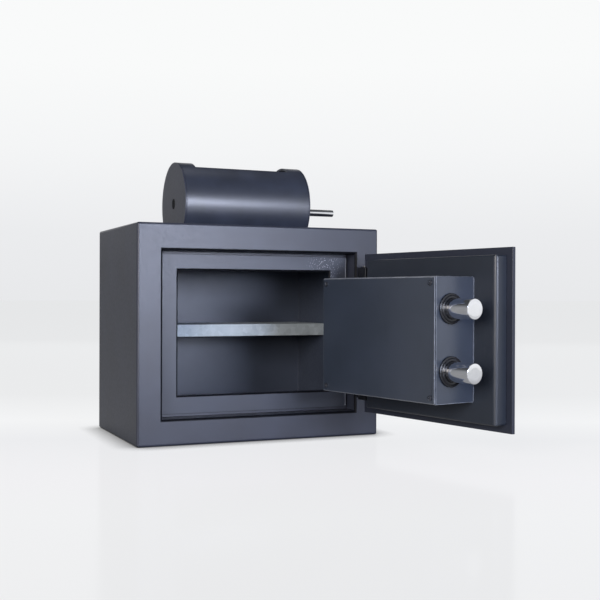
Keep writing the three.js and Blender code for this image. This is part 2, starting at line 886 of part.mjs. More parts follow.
// Trapezium of the lock case in plan, drawn in by a margin on every side that has a wall
function caseOutline(margin, d0, d1) {
  const lean = (caseFootInset - caseHingeInset) / (caseTop - caseFoot);
  const shift = margin * Math.hypot(1, lean);
  const hingeSide = (d) => caseFootInset - lean * (d - caseFoot) + shift;
  const latchSide = caseLatchS - margin;
  return outline([
    [doorX(latchSide), doorY(d0)],
    [doorX(hingeSide(d0)), doorY(d0)],
    [doorX(hingeSide(d1)), doorY(d1)],
    [doorX(latchSide), doorY(d1)],
  ]);
}

// The four places of the cover's screws
function coverScrewPlaces() {
  const hingeS = caseHingeInset + screwInset;
  const latchS = caseLatchS - screwInset;
  const rise = caseHeight / 2 - screwInset;
  return [[hingeS, rise], [hingeS, -rise], [latchS, rise], [latchS, -rise]];
}

// Folded case round the works, with foot flanges and a tapped lug in each corner
function lockCase() {
  const half = caseHeight / 2;
  const low = doorZ(-half);
  const high = doorZ(half);
  const outside = prismZ(caseOutline(0, caseFoot, caseTop), low, high);
  const inside = prismZ(
    caseOutline(caseWall, caseFoot - overrun, caseTop + overrun),
    low + caseWall, high - caseWall,
  );
  const lugDepth = caseTop - caseLugDepth;
  const cornerPlan = caseOutline(caseWall / 2, lugDepth, caseTop);
  const corners = prismZ(cornerPlan, low + caseWall / 2, high - caseWall / 2);
  const lugKeep = coverScrewPlaces().map(([s, h]) => {
    const outward = Math.sign(h) * caseLug / 2;
    const middle = h + outward;
    return doorBlock(
      s - caseLug, s + caseLug / 2,
      lugDepth, caseTop,
      middle - caseLug / 2, middle + caseLug / 2,
    );
  });
  const latchKeep = coverScrewPlaces().slice(2).map(([s, h]) => (
    doorBlock(s - caseLug / 2, caseLatchS, lugDepth, caseTop, h - caseLug / 2, h + caseLug / 2)
  ));
  const lugs = corners.intersect(join(...lugKeep.slice(0, 2), ...latchKeep));
  const flangeS0 = caseFootInset + caseLug;
  const flangeS1 = caseLatchS - caseLug;
  const flanges = [-1, 1].map((side) => {
    const edge = side * (half - caseWall / 2);
    const inner = side * (half - caseWall - caseFlange);
    return doorBlock(
      flangeS0, flangeS1,
      caseFoot, caseFoot + caseWall,
      Math.min(edge, inner), Math.max(edge, inner),
    );
  });
  const screwHoles = coverScrewPlaces().map(([s, h]) => (
    doorRod(screwRadius + fit, lugDepth - overrun, caseTop + overrun, s, h, smallSteps)
  ));
  const boltHoles = [-boltRise, boltRise].map((h) => (
    throwRod(guideShankRadius + fit, caseLatchS - caseWall - overrun, caseLatchS + overrun, boltAxisDepth, h)
  ));
  return cut(join(cut(outside, inside), lugs, ...flanges), ...screwHoles, ...boltHoles);
}

const guideShankRadius = boltRadius + runGap + guideShankWall;

// Flat cover of the lock case
function lockCaseCover() {
  const half = caseHeight / 2 - coverInset;
  const d0 = caseTop + fit;
  const sheet = doorBlock(
    caseHingeInset + coverInset, caseLatchS - coverInset,
    d0, d0 + coverWall,
    -half, half,
  );
  const holes = coverScrewPlaces().map(([s, h]) => (
    doorRod(screwRadius + fit, d0 - overrun, d0 + coverWall + overrun, s, h, smallSteps)
  ));
  return cut(sheet, ...holes);
}

// Domed screw with one slot, its head towards the inside of the safe
function coverScrew(s, h) {
  const seat = caseTop + fit + coverWall + fit;
  const crown = seat + screwHeadHeight;
  const body = join(
    doorRod(screwRadius, seat - screwLength, seat + screwHeadHeight / 2, s, h, smallSteps),
    turned('y', [
      [0, doorY(seat)],
      [screwHeadRadius, doorY(seat)],
      [screwHeadRadius, doorY(seat + screwHeadHeight / 2)],
      [screwHeadRadius / 2, doorY(crown)],
      [0, doorY(crown)],
    ], doorX(s), doorZ(h), smallSteps),
  );
  const halfSlot = screwSlotWidth / 2;
  return cut(body, doorBlock(s - halfSlot, s + halfSlot, seat + screwHeadHeight / 2, crown + overrun,
    h - screwHeadRadius, h + screwHeadRadius));
}

// Round bolt with a stud at its root
function bolt(h) {
  const root = barLatchS + fit;
  return turned('x', [
    [0, doorX(boltTipS)],
    [boltRadius - boltChamfer, doorX(boltTipS)],
    [boltRadius, doorX(boltTipS - boltChamfer)],
    [boltRadius, doorX(root)],
    [boltStudRadius, doorX(root)],
    [boltStudRadius, doorX(barHingeS)],
    [0, doorX(barHingeS)],
  ], doorY(boltAxisDepth), doorZ(h), 2 * smallSteps);
}

// Stepped guide ring that a bolt slides through
function boltGuide(h) {
  const face = caseLatchS + fit;
  const flange = throwRod(guideRadius, face, face + guideFlange, boltAxisDepth, h, 2 * smallSteps);
  const collarEnd = face + guideFlange + guideCollar;
  const collar = throwRod(guideCollarRadius, face, collarEnd, boltAxisDepth, h, 2 * smallSteps);
  const shank = throwRod(guideShankRadius, guideInnerS, face, boltAxisDepth, h, 2 * smallSteps);
  const bore = throwRod(
    boltRadius + runGap, guideInnerS - overrun, collarEnd + overrun,
    boltAxisDepth, h, 2 * smallSteps,
  );
  return cut(join(flange, collar, shank), bore);
}

// Upright bar that carries both bolts
function boltBar() {
  const half = boltRise + barOverhang;
  const near = boltAxisDepth - barThickness / 2;
  const solid = doorBlock(barHingeS, barLatchS, near, near + barThickness, -half, half);
  const studs = [-boltRise, boltRise].map((h) => (
    throwRod(boltStudRadius + fit, barHingeS - overrun, barLatchS + overrun, boltAxisDepth, h, smallSteps)
  ));
  return cut(solid, ...studs, ...yokeScrewHoles(near - overrun, near + barThickness / 2));
}

// Holes for the two screws that join the yoke to the bar
function yokeScrewHoles(d0, d1) {
  return yokeScrewRises.map((h) => doorRod(yokeScrewRadius + fit, d0, d1, barMidS, h, smallSteps));
}

const barMidS = (barHingeS + barLatchS) / 2;
const yokeScrewRises = [yokeScrewRadius, yokeHeadRise - 3 * yokeScrewRadius];

// Screws of the yoke
function yokeScrew(h) {
  const seat = yokeDepth - fit;
  const head = doorRod(2 * yokeScrewRadius, seat - yokeScrewRadius, seat, barMidS, h, smallSteps);
  return join(head, doorRod(yokeScrewRadius, seat, boltAxisDepth - yokeScrewRadius, barMidS, h, smallSteps));
}

// Plate that the drive pin moves. The key lock's bolt rises into a notch of its tail, one for
// thrown bolts and one for withdrawn ones.
function boltYoke() {
  const headS = barLatchS - yokeHeadLength - barWidth;
  const tailS = keyS - yokeTailReach;
  const notchHalf = lockBoltHalfWidth + lockPlay;
  const notches = [keyS, keyS + boltThrow].map((s) => doorBlock(
    s - notchHalf, s + notchHalf,
    yokeDepth - overrun, yokeDepth + yokeWall + overrun,
    yokeTailLow - overrun, yokeTailLow + notchDepth,
  ));
  const plate = doorPlate([
    [barLatchS, -yokeHeadDrop],
    [barLatchS, yokeHeadRise],
    [headS, yokeHeadRise],
    [headS, yokeTailHigh],
    [tailS, yokeTailHigh],
    [tailS, yokeTailLow],
    [headS, yokeTailLow],
    [headS, -yokeHeadDrop],
  ], yokeDepth, yokeDepth + yokeWall);
  const slotS = spindleS + boltThrow / 2;
  const slotHalf = drivePinRadius + slidePlay;
  const slot = doorBlock(
    slotS - slotHalf, slotS + slotHalf,
    yokeDepth - overrun, yokeDepth + yokeWall + overrun,
    boltThrow / 2 - drivePinRadius - slotEndPlay, driveArm + drivePinRadius + slotEndPlay,
  );
  return cut(plate, slot, ...notches, ...yokeScrewHoles(yokeDepth - overrun, yokeDepth + yokeWall + overrun));
}

const armDepth = yokeDepth - armGap - armWall;

// Arm on the spindle's inner end, with the pin that drives the yoke
function driveArmPiece() {
  const s = spindleS + boltThrow / 2;
  const h = boltThrow / 2;
  const hub = doorRod(armRadius, armDepth, armDepth + armWall, spindleS, 0);
  const eye = doorRod(drivePinRadius + bushWall, armDepth, armDepth + armWall, s, h);
  const across = armRadius / Math.SQRT2;
  const web = doorPlate([
    [spindleS - across / 2, across / 2],
    [spindleS + across / 2, -across / 2],
    [s + across / 2, h - across / 2],
    [s - across / 2, h + across / 2],
  ], armDepth, armDepth + armWall);
  const pin = doorRod(drivePinRadius, armDepth, yokeDepth + yokeWall + armGap, s, h);
  const boreEnd = armDepth + armWall + overrun;
  const bore = doorRod(spindleStudRadius + fit, armDepth - overrun, boreEnd, spindleS, 0);
  return cut(join(hub, eye, web, pin), bore);
}

const roseBack = -plateWall - fit;
const roseFront = roseBack - roseHeight;
const knobBack = roseFront - knobGap;
const knobFront = knobBack - knobNeckHeight - knobHeight;

// Spindle from the knob through the door to the drive arm
function handleSpindle() {
  return turned('y', [
    [0, doorY(knobBack - spindleSocket + fit)],
    [spindleRadius, doorY(knobBack - spindleSocket + fit)],
    [spindleRadius, doorY(armDepth - fit)],
    [spindleStudRadius, doorY(armDepth - fit)],
    [spindleStudRadius, doorY(armDepth + armWall)],
    [0, doorY(armDepth + armWall)],
  ], doorX(spindleS), doorZ(0));
}

// Flanged bush that carries the spindle in the tray
function spindleBush() {
  const sleeve = doorRod(spindleBushRadius, fit, caseFoot + bushFlangeWall, spindleS, 0);
  const flange = doorRod(spindleBushRadius + bushFlange, caseFoot, caseFoot + bushFlangeWall, spindleS, 0);
  const bore = doorRod(spindleRadius + runGap, -overrun, caseFoot + overrun, spindleS, 0);
  return cut(join(sleeve, flange), bore);
}

// Round rose behind the knob
function handleRose() {
  const profile = turned('y', [
    [0, doorY(roseFront)],
    [roseRadius - roseHeight / 2, doorY(roseFront)],
    [roseRadius, doorY(roseFront + roseHeight / 2)],
    [roseRadius, doorY(roseBack)],
    [0, doorY(roseBack)],
  ], doorX(spindleS), doorZ(0), arcSteps);
  return cut(profile, doorRod(spindleRadius + runGap, roseFront - overrun, roseBack + overrun, spindleS, 0));
}

// Lobed knob on a round neck
function handleKnob() {
  const shape = new THREE.Shape();
  for (let step = 0; step < arcSteps; step += 1) {
    const turn = 2 * Math.PI * step / arcSteps;
    const radius = (knobRadius - knobEdge) * (1 - knobLobeShare * (1 - Math.cos(knobLobes * turn)) / 2);
    const point = [radius * Math.sin(turn), radius * Math.cos(turn)];
    if (step === 0) {
      shape.moveTo(...point);
    } else {
      shape.lineTo(...point);
    }
  }
  shape.closePath();
  const grip = new THREE.ExtrudeGeometry(shape, {
    depth: knobHeight - 2 * knobEdge,
    bevelThickness: knobEdge,
    bevelSize: knobEdge,
    bevelSegments: edgeSteps,
  });
  grip.rotateX(Math.PI / 2);
  grip.translate(doorX(spindleS), doorY(knobFront + knobHeight - knobEdge), doorZ(0));
  const neck = doorRod(knobNeckRadius, knobFront + knobHeight / 2, knobBack, spindleS, 0);
  const socket = doorRod(spindleRadius + fit, knobBack - spindleSocket, knobBack + overrun, spindleS, 0);
  return cut(join(solidOf(grip), neck), socket);
}

// Disc in the middle of the knob's face
function knobCap() {
  return doorRod(capRadius, knobFront - fit - capHeight, knobFront - fit, spindleS, 0);
}

const lockFront = caseFoot;
const lockBack = yokeDepth + yokeWall + lockBackGap + lockWall;

// Box of the key lock, open towards the tray, with a slot for its bolt
function lockBody() {
  const top = lockRise - keyDrop;
  const bottom = -lockFall - keyDrop;
  const outside = doorBlock(keyS - lockHalfWidth, keyS + lockHalfWidth, lockFront, lockBack, bottom, top);
  const inside = doorBlock(
    keyS - lockHalfWidth + lockWall, keyS + lockHalfWidth - lockWall,
    lockFront - overrun, lockBack - lockWall,
    bottom + lockWall, top - lockWall,
  );
  const slotHalf = lockBoltHalfWidth + fit;
  const slot = doorBlock(
    keyS - slotHalf, keyS + slotHalf,
    yokeDepth - fit, yokeDepth + yokeWall + fit,
    top - lockWall - fit, top + overrun,
  );
  return cut(outside, inside, slot);
}

// Small bolt that rises into the yoke's notch
function lockBolt() {
  const headTop = lockRise - keyDrop + lockBoltProud;
  const shoulder = lockBoltShoulder - keyDrop;
  const foot = -lockBoltFoot - keyDrop;
  const plate = doorPlate([
    [keyS - lockBoltBodyHalfWidth, foot],
    [keyS + lockBoltBodyHalfWidth, foot],
    [keyS + lockBoltBodyHalfWidth, shoulder],
    [keyS + lockBoltHalfWidth, shoulder],
    [keyS + lockBoltHalfWidth, headTop],
    [keyS - lockBoltHalfWidth, headTop],
    [keyS - lockBoltHalfWidth, shoulder],
    [keyS - lockBoltBodyHalfWidth, shoulder],
  ], yokeDepth, yokeDepth + yokeWall);
  const slotHalf = camPinRadius + lockPlay;
  const slot = doorBlock(
    keyS - camArm - slotHalf, keyS - lockBoltThrow / 2 + slotHalf,
    yokeDepth - overrun, yokeDepth + yokeWall + overrun,
    -keyDrop - lockBoltThrow / 2 - slotHalf, -keyDrop - lockBoltThrow / 2 + slotHalf,
  );
  return cut(plate, slot);
}

const camArm = lockBoltThrow / Math.SQRT2;
const camDepth = yokeDepth - armGap - camWall;

// Cam with the pin that lifts the lock's bolt
function keyCam() {
  const disc = doorRod(camRadius, camDepth, camDepth + camWall, keyS, -keyDrop);
  const pin = doorRod(
    camPinRadius, camDepth, yokeDepth + yokeWall + lockBackGap / 2,
    keyS - lockBoltThrow / 2, -keyDrop - lockBoltThrow / 2, smallSteps,
  );
  return join(disc, pin);
}

// Round plug with the keyway
function keyPlug() {
  const front = roseBack - escutcheonHeight;
  const plug = doorRod(plugRadius, front, camDepth - fit, keyS, -keyDrop);
  const keyway = doorBlock(
    keyS - keywayWidth / 2, keyS + keywayWidth / 2,
    front - overrun, front + keywayDepth,
    -keyDrop - keywayHeight / 2, -keyDrop + keywayHeight / 2,
  );
  return cut(plug, keyway);
}

// Keyhole plate with round ends
function keyholeEscutcheon() {
  const d0 = roseBack - escutcheonHeight;
  const plate = roundEnded(escutcheonRadius, escutcheonRadius, d0, roseBack);
  return cut(
    plate,
    doorRod(plugRadius + runGap, d0 - overrun, overrun, keyS, -keyDrop),
    doorRod(rivetRadius + fit, d0 - overrun, overrun, keyS, coverPivotRise - keyDrop, smallSteps),
  );
}

// Plate round two circles, one on the cover's pivot and one on the keyway
function roundEnded(pivotEnd, keyEnd, d0, d1) {
  const upper = doorRod(pivotEnd, d0, d1, keyS, coverPivotRise - keyDrop);
  const lower = doorRod(keyEnd, d0, d1, keyS, -keyDrop);
  const tilt = Math.asin((keyEnd - pivotEnd) / coverPivotRise);
  const side = (radius, centre, sign) => [
    keyS + sign * radius * Math.cos(tilt),
    centre + radius * Math.sin(tilt),
  ];
  const web = doorPlate([
    side(pivotEnd, coverPivotRise - keyDrop, 1),
    side(keyEnd, -keyDrop, 1),
    side(keyEnd, -keyDrop, -1),
    side(pivotEnd, coverPivotRise - keyDrop, -1),
  ], d0, d1);
  return join(upper, lower, web);
}

const keyCoverBack = roseBack - escutcheonHeight - runGap;
const keyCoverFront = keyCoverBack - keyCoverWall;

// Cover that hangs over the keyway
function keyholeCover() {
  const plate = roundEnded(coverPivotBoss, coverDiscRadius, keyCoverFront, keyCoverBack);
  return cut(plate, doorRod(
    rivetRadius + runGap, keyCoverFront - overrun, keyCoverBack + overrun,
    keyS, coverPivotRise - keyDrop, smallSteps,
  ));
}

// Rivet that the cover hangs on
function coverRivet() {
  const h = coverPivotRise - keyDrop;
  const under = keyCoverFront - runGap;
  const shank = doorRod(rivetRadius, under, roseBack, keyS, h, smallSteps);
  return join(shank, doorRod(rivetHeadRadius, under - rivetHeadHeight, under, keyS, h, smallSteps));
}

// Body and what is fixed to it
add(safe, 'outer_shell', outerShell(), paint);
add(safe, 'wall_filling', wallFilling(), mineral);
add(safe, 'inner_liner', innerLiner(), paintInside);
add(safe, 'door_frame', doorFrame(), paint);
add(safe, 'shelf', shelf(), galvanised);
add(safe, 'shelf_ledge_left', shelfLedge(-1), paintInside);
add(safe, 'shelf_ledge_right', shelfLedge(1), paintInside);
add(safe, 'anchor_plug_left', anchorPlug(-anchorSpacing / 2), blackPlastic);
add(safe, 'anchor_plug_right', anchorPlug(anchorSpacing / 2), blackPlastic);
add(safe, 'drop_chute', dropChute(), paintInside);
add(safe, 'antifish_comb_front', antiFishComb(-1), galvanised);
add(safe, 'antifish_comb_rear', antiFishComb(1), galvanised);
add(safe, 'hopper_hood', hopperHood(), paint);
add(safe, 'hopper_end_left', hopperEnd(-1), paint);
add(safe, 'hopper_end_right', hopperEnd(1), paint);
add(safe, 'drum_pivot_screw', drumPivotScrew(), paint);
const rightEndInner = hopperLength / 2 - hopperEndWall;
add(safe, 'drum_bearing_right', flangedBush(rightEndInner, hopperLength / 2 + fit, 1), brass);

// Hinges, from the door's lower and upper ends
const hingeBases = {
  lower: doorMidZ - plateHalfHeight + hingeEndInset,
  upper: doorMidZ + plateHalfHeight - hingeEndInset - hingeHeight,
};
for (const [place, baseZ] of Object.entries(hingeBases)) {
  add(safe, `hinge_bracket_${place}`, hingeBracket(baseZ), paint);
  add(safe, `hinge_pin_${place}`, hingePin(baseZ), steel);
  add(doorClosed, `hinge_leaf_${place}`, hingeLeaf(baseZ), paint);
}

// Drum
add(safe, 'drum_shell', drumShell(), paintInside);
add(safe, 'drum_end_left', drumEnd(-1), paintInside);
add(safe, 'drum_end_right', drumEnd(1), paintInside);
const leftDiscInner = -drumHalfLength + drumEndWall;
add(safe, 'drum_bush_left', flangedBush(-drumHalfLength, leftDiscInner + fit, 1), brass);
add(safe, 'drum_handle', drumHandle(), chrome);

// Door leaf
add(doorClosed, 'door_plate', doorPlateSheet(), paint);
add(doorClosed, 'door_pan', doorPan(), paint);
add(doorClosed, 'door_core', doorCore(), mineral);
add(doorClosed, 'hinge_side_bar', hingeSideBar(), paint);
add(doorClosed, 'lock_case', lockCase(), paint);
add(doorClosed, 'lock_case_cover', lockCaseCover(), paint);
coverScrewPlaces().forEach(([s, h], index) => {
  add(doorClosed, `cover_screw_${index + 1}`, coverScrew(s, h), steel);
});
add(doorClosed, 'spindle_bush', spindleBush(), brass);
add(doorClosed, 'handle_rose', handleRose(), chrome);
add(doorClosed, 'lock_body', lockBody(), steel);
add(doorClosed, 'keyhole_escutcheon', keyholeEscutcheon(), chrome);
add(doorClosed, 'cover_rivet', coverRivet(), steel);

// Bolts
for (const [place, rise] of Object.entries({ lower: -boltRise, upper: boltRise })) {
  add(doorClosed, `bolt_guide_${place}`, boltGuide(rise), blackPlastic);
  add(doorClosed, `bolt_${place}`, bolt(rise), chrome);
}
add(doorClosed, 'bolt_bar', boltBar(), steel);
add(doorClosed, 'bolt_yoke', boltYoke(), steel);
yokeScrewRises.forEach((h, index) => add(doorClosed, `yoke_screw_${index + 1}`, yokeScrew(h), steel));

// Knob, key and cover
add(doorClosed, 'handle_spindle', handleSpindle(), steel);
add(doorClosed, 'drive_arm', driveArmPiece(), steel);
add(doorClosed, 'handle_knob', handleKnob(), blackPlastic);
add(doorClosed, 'knob_cap', knobCap(), chrome);
add(doorClosed, 'key_plug', keyPlug(), chrome);
add(doorClosed, 'key_cam', keyCam(), steel);
add(doorClosed, 'lock_bolt', lockBolt(), brass);
add(doorClosed, 'keyhole_cover', keyholeCover(), chrome);

export default safe;
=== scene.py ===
"""Looks of a small steel deposit safe: finishes, turned fittings, floor, light and camera.

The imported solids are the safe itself. This script gives each of them a finish
and softens their folded and ground edges. It puts finer turned and moulded
pieces in place of the fittings that the eye rests on: the bolts and their
guides, the drum's handle, the screws of the lock case and the knob.
"""

import json
import logging
import math
from dataclasses import dataclass
from enum import Enum
from typing import Callable, Iterable, Sequence

import bmesh
import bpy
from bpy.types import Material, Node, NodeSocket, NodeTree, Object, World
from mathutils import Matrix, Vector


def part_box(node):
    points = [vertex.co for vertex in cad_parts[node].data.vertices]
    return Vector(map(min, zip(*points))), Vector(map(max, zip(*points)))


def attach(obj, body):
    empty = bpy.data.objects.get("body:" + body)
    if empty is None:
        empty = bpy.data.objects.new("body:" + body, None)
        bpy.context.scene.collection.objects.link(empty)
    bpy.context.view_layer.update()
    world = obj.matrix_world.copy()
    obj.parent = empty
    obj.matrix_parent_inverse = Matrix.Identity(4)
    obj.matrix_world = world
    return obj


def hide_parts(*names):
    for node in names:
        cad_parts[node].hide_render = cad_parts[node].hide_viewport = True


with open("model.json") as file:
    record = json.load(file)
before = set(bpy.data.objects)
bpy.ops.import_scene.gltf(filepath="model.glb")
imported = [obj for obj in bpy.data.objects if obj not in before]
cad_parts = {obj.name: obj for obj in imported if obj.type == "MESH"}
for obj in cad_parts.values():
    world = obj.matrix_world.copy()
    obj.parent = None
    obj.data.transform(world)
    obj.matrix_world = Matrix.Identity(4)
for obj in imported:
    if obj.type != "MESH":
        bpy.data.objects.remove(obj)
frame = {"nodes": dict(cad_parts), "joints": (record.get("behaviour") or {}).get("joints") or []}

LOG = logging.getLogger("deposit_safe")
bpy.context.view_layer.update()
MM = 0.001

Point = tuple[float, float, float]
Ring = list[bmesh.types.BMVert]
# Pairs of radius and height.
Profile = Sequence[tuple[float, float]]
# Places on a colour ramp, each with its colour.
Stops = Sequence[tuple[float, str]]
# What feeds a node's input, and what a finish's colour, roughness and height follow.
Feed = Node | NodeSocket
Leads = tuple[Feed, Feed, Feed]


class Slot(Enum):
    """Material slots of the record, handed along with each new piece."""

    POWDER = "powder_coat"
    CHROME = "chrome"
    STEEL = "steel"
    PLASTIC = "black_plastic"


class Edge(Enum):
    """How the edges of a kept solid are softened, as a radius in millimetres."""

    SHARP = 0.0
    SHEET = 0.35
    PLATE = 0.7
    LIP = 2.2
    FOLD = 3.0


def linear(hex_colour: str) -> tuple[float, float, float, float]:
    """Turn an sRGB hex colour into linear RGBA.

    Args:
        hex_colour: Six hex digits after a hash.

    Returns:
        Linear red, green and blue, and an alpha of one.
    """
    split, slope, lift, power = 0.04045, 12.92, 0.055, 2.4
    parts = [int(hex_colour[i:i + 2], 16) / 255 for i in (1, 3, 5)]
    curve = [p / slope if p <= split else ((p + lift) / (1 + lift)) ** power for p in parts]
    return (*curve, 1.0)


class NodeSheet:
    """The node tree of a material, of the world or of a modifier."""

    def __init__(self, owner: Material | World | NodeTree) -> None:
        """Start an empty tree.

        Args:
            owner: Material or world that gets the tree, or a modifier's own tree.
        """
        if isinstance(owner, NodeTree):
            self.tree, self.family = owner, ""
        else:
            owner.use_nodes = True
            self.tree, self.family = owner.node_tree, "ShaderNode"
        self.tree.nodes.clear()

    def add(self, kind: str, inputs: dict[str | int, object] | None = None, stops: Stops = (),
            **settings: object) -> Node:
        """Add a node with its settings, values and links.

        Args:
            kind: Node type, without its leading ShaderNode in a material or world.
            inputs: By name or number, a value, a socket, or a node for its first output.
            stops: A colour ramp's places from 0 to 1, each with a hex colour.
            **settings: Attributes of the node.

        Returns:
            The new node.
        """
        node = self.tree.nodes.new(self.family + kind)
        for key, value in settings.items():
            setattr(node, key, value)
        for key, value in (inputs or {}).items():
            if isinstance(value, Node):
                value = value.outputs[0]
            if isinstance(value, NodeSocket):
                self.tree.links.new(value, node.inputs[key])
            else:
                node.inputs[key].default_value = value
        if stops:
            elements = node.color_ramp.elements
            while len(elements) < len(stops):
                elements.new(0.5)
            for element, (place, colour) in zip(elements, stops):
                element.position, element.color = place, linear(colour)
        return node


@dataclass(frozen=True)
class Surface:
    """A finish that is grained by a noise in the part's own millimetres.

    Attributes:
        name: Material name.
        colour: Main colour, sRGB hex.
        shade: Darker colour of its faint clouds, sRGB hex.
        metallic: One for bare metal, zero for a coat or plastic, between them for dull zinc.
        roughness: Mean roughness.
        spread: How far the roughness wanders from the mean, both ways.
        grain_mm: Width of one grain.
        depth_mm: Height of the grain.
        cloud_mm: Width of one cloud of the darker colour.
        ior: Refraction index, used where the surface is no metal.
        grain_detail: Finer steps of the grain's noise.
        cloud_detail: Finer steps of the clouds' noise.
        cloud_edge: Noise value up to which the darker colour is pure.
        noise_band: Noise values between which the roughness wanders.
    """

    name: str
    colour: str
    shade: str
    metallic: float = 0.0
    roughness: float = 0.45
    spread: float = 0.04
    grain_mm: float = 1.5
    depth_mm: float = 0.03
    cloud_mm: float = 60.0
    ior: float = 1.5
    grain_detail: float = 3.0
    cloud_detail: float = 2.0
    cloud_edge: float = 0.35
    noise_band: tuple[float, float] = (0.3, 0.7)

    def build(self) -> Material:
        """Make the material.

        Returns:
            The material, with its node tree.
        """
        material = bpy.data.materials.new(self.name)
        sheet = NodeSheet(material)
        place = sheet.add("TexCoord").outputs["Object"]
        cloud, grain = (
            sheet.add("TexNoise", {"Vector": place, "Scale": 1 / (width * MM), "Detail": detail})
            for width, detail in ((self.cloud_mm, self.cloud_detail), (self.grain_mm, self.grain_detail)))
        tone, gloss, height = self.pattern(sheet, place, cloud, grain)
        tint = sheet.add("ValToRGB", {0: tone}, stops=(
            (self.cloud_edge, self.shade), (1 - self.cloud_edge, self.colour)))
        rough = sheet.add("MapRange", {
            "Value": gloss, "From Min": self.noise_band[0], "From Max": self.noise_band[1],
            "To Min": self.roughness - self.spread, "To Max": self.roughness + self.spread})
        bump = sheet.add("Bump", {"Height": height, "Distance": self.depth_mm * MM, "Strength": 1.0})
        shader = sheet.add("BsdfPrincipled", {
            "Base Color": self.dusted(sheet, place, tint), "Roughness": rough, "Normal": bump,
            "Metallic": self.metallic, **({} if self.metallic else {"IOR": self.ior})})
        sheet.add("OutputMaterial", {"Surface": shader})
        material.diffuse_color = linear(self.colour)
        return material

    def pattern(self, sheet: NodeSheet, place: Feed, cloud: Feed, grain: Feed) -> Leads:
        """Work out what the finish's colour, gloss and bump follow.

        Args:
            sheet: Node tree of the material.
            place: Point of the surface, in metres.
            cloud: Wide noise.
            grain: Fine noise.

        Returns:
            The values that the colour, the roughness and the height follow.
        """
        return cloud, grain, grain

    def dusted(self, sheet: NodeSheet, place: Feed, tint: Feed) -> Feed:
        """Return the colour with what lies in the finish; a plain one has nothing in it."""
        return tint


@dataclass(frozen=True)
class PowderCoat(Surface):
    """Polyester powder, sprayed and baked: a fine orange peel that breaks up the gloss.

    Attributes:
        peel_mm: Width of the larger waves under the grain.
        peel_detail: Finer steps of those waves' noise.
        speck: Colour of sparse dust under the coat, or empty for none.
        speck_at: Centre of the place with specks, in metres.
        speck_reach: Radius of that place, in metres.
        speck_mm: Distance between specks.
        speck_size: Radius of a speck, as a share of that distance.
        speck_cover: How far a speck at the centre hides the coat.
    """

    spread: float = 0.02
    grain_mm: float = 1.6
    depth_mm: float = 0.009
    grain_detail: float = 2.0
    cloud_edge: float = 0.3
    peel_mm: float = 4.0
    peel_detail: float = 1.0
    speck: str = ""
    speck_at: Point = (0.0, 0.0, 0.0)
    speck_reach: float = 0.03
    speck_mm: float = 2.4
    speck_size: float = 0.24
    speck_cover: float = 0.75

    def pattern(self, sheet: NodeSheet, place: Feed, cloud: Feed, grain: Feed) -> Leads:
        """Let the gloss follow the larger waves, and the height the waves and the grain.

        Args:
            sheet: Node tree of the material.
            place: Point of the surface, in metres.
            cloud: Wide noise.
            grain: Fine noise.

        Returns:
            The values that the colour, the roughness and the height follow.
        """
        peel = sheet.add("TexNoise", {
            "Vector": place, "Scale": 1 / (self.peel_mm * MM), "Detail": self.peel_detail})
        return cloud, peel, sheet.add("Math", {0: peel, 1: grain}, operation="ADD")

    def dusted(self, sheet: NodeSheet, place: Feed, tint: Feed) -> Feed:
        """Scatter sparse pale specks near one place, where the coat has them.

        Args:
            sheet: Node tree of the material.
            place: Point of the surface, in metres.
            tint: Colour of the coat.

        Returns:
            The colour with the specks.
        """
        if not self.speck:
            return tint
        spots = sheet.add("TexVoronoi", {"Vector": place, "Scale": 1 / (self.speck_mm * MM)})
        small = sheet.add("Math", {0: spots.outputs["Distance"], 1: self.speck_size}, operation="LESS_THAN")
        away = sheet.add("VectorMath", {0: place, 1: self.speck_at}, operation="DISTANCE")
        near = sheet.add("MapRange", {
            "Value": away.outputs["Value"], "From Min": 0.0, "From Max": self.speck_reach,
            "To Min": self.speck_cover, "To Max": 0.0})
        kept = sheet.add("Math", {0: small, 1: near}, operation="MULTIPLY")
        mix = sheet.add("Mix", {0: kept, 6: tint, 7: linear(self.speck)}, data_type="RGBA")
        return mix.outputs[2]


@dataclass(frozen=True)
class Galvanised(Surface):
    """Hot-dipped zinc sheet: crystals a few millimetres wide, each with its own grey and gloss.

    Attributes:
        spangle_mm: Width of a crystal.
    """

    grain_detail: float = 2.0
    cloud_edge: float = 0.3
    spangle_mm: float = 6.5

    def pattern(self, sheet: NodeSheet, place: Feed, cloud: Feed, grain: Feed) -> Leads:
        """Let the colour follow the crystals and the clouds, and the gloss the crystals.

        Args:
            sheet: Node tree of the material.
            place: Point of the surface, in metres.
            cloud: Wide noise.
            grain: Fine noise.

        Returns:
            The values that the colour, the roughness and the height follow.
        """
        crystal = sheet.add("TexVoronoi", {"Vector": place, "Scale": 1 / (self.spangle_mm * MM)})
        grey = sheet.add("RGBToBW", {0: crystal.outputs["Color"]})
        both = sheet.add("Math", {0: grey, 1: cloud}, operation="ADD")
        return sheet.add("Math", {0: both, 1: 0.5}, operation="MULTIPLY"), grey, grain


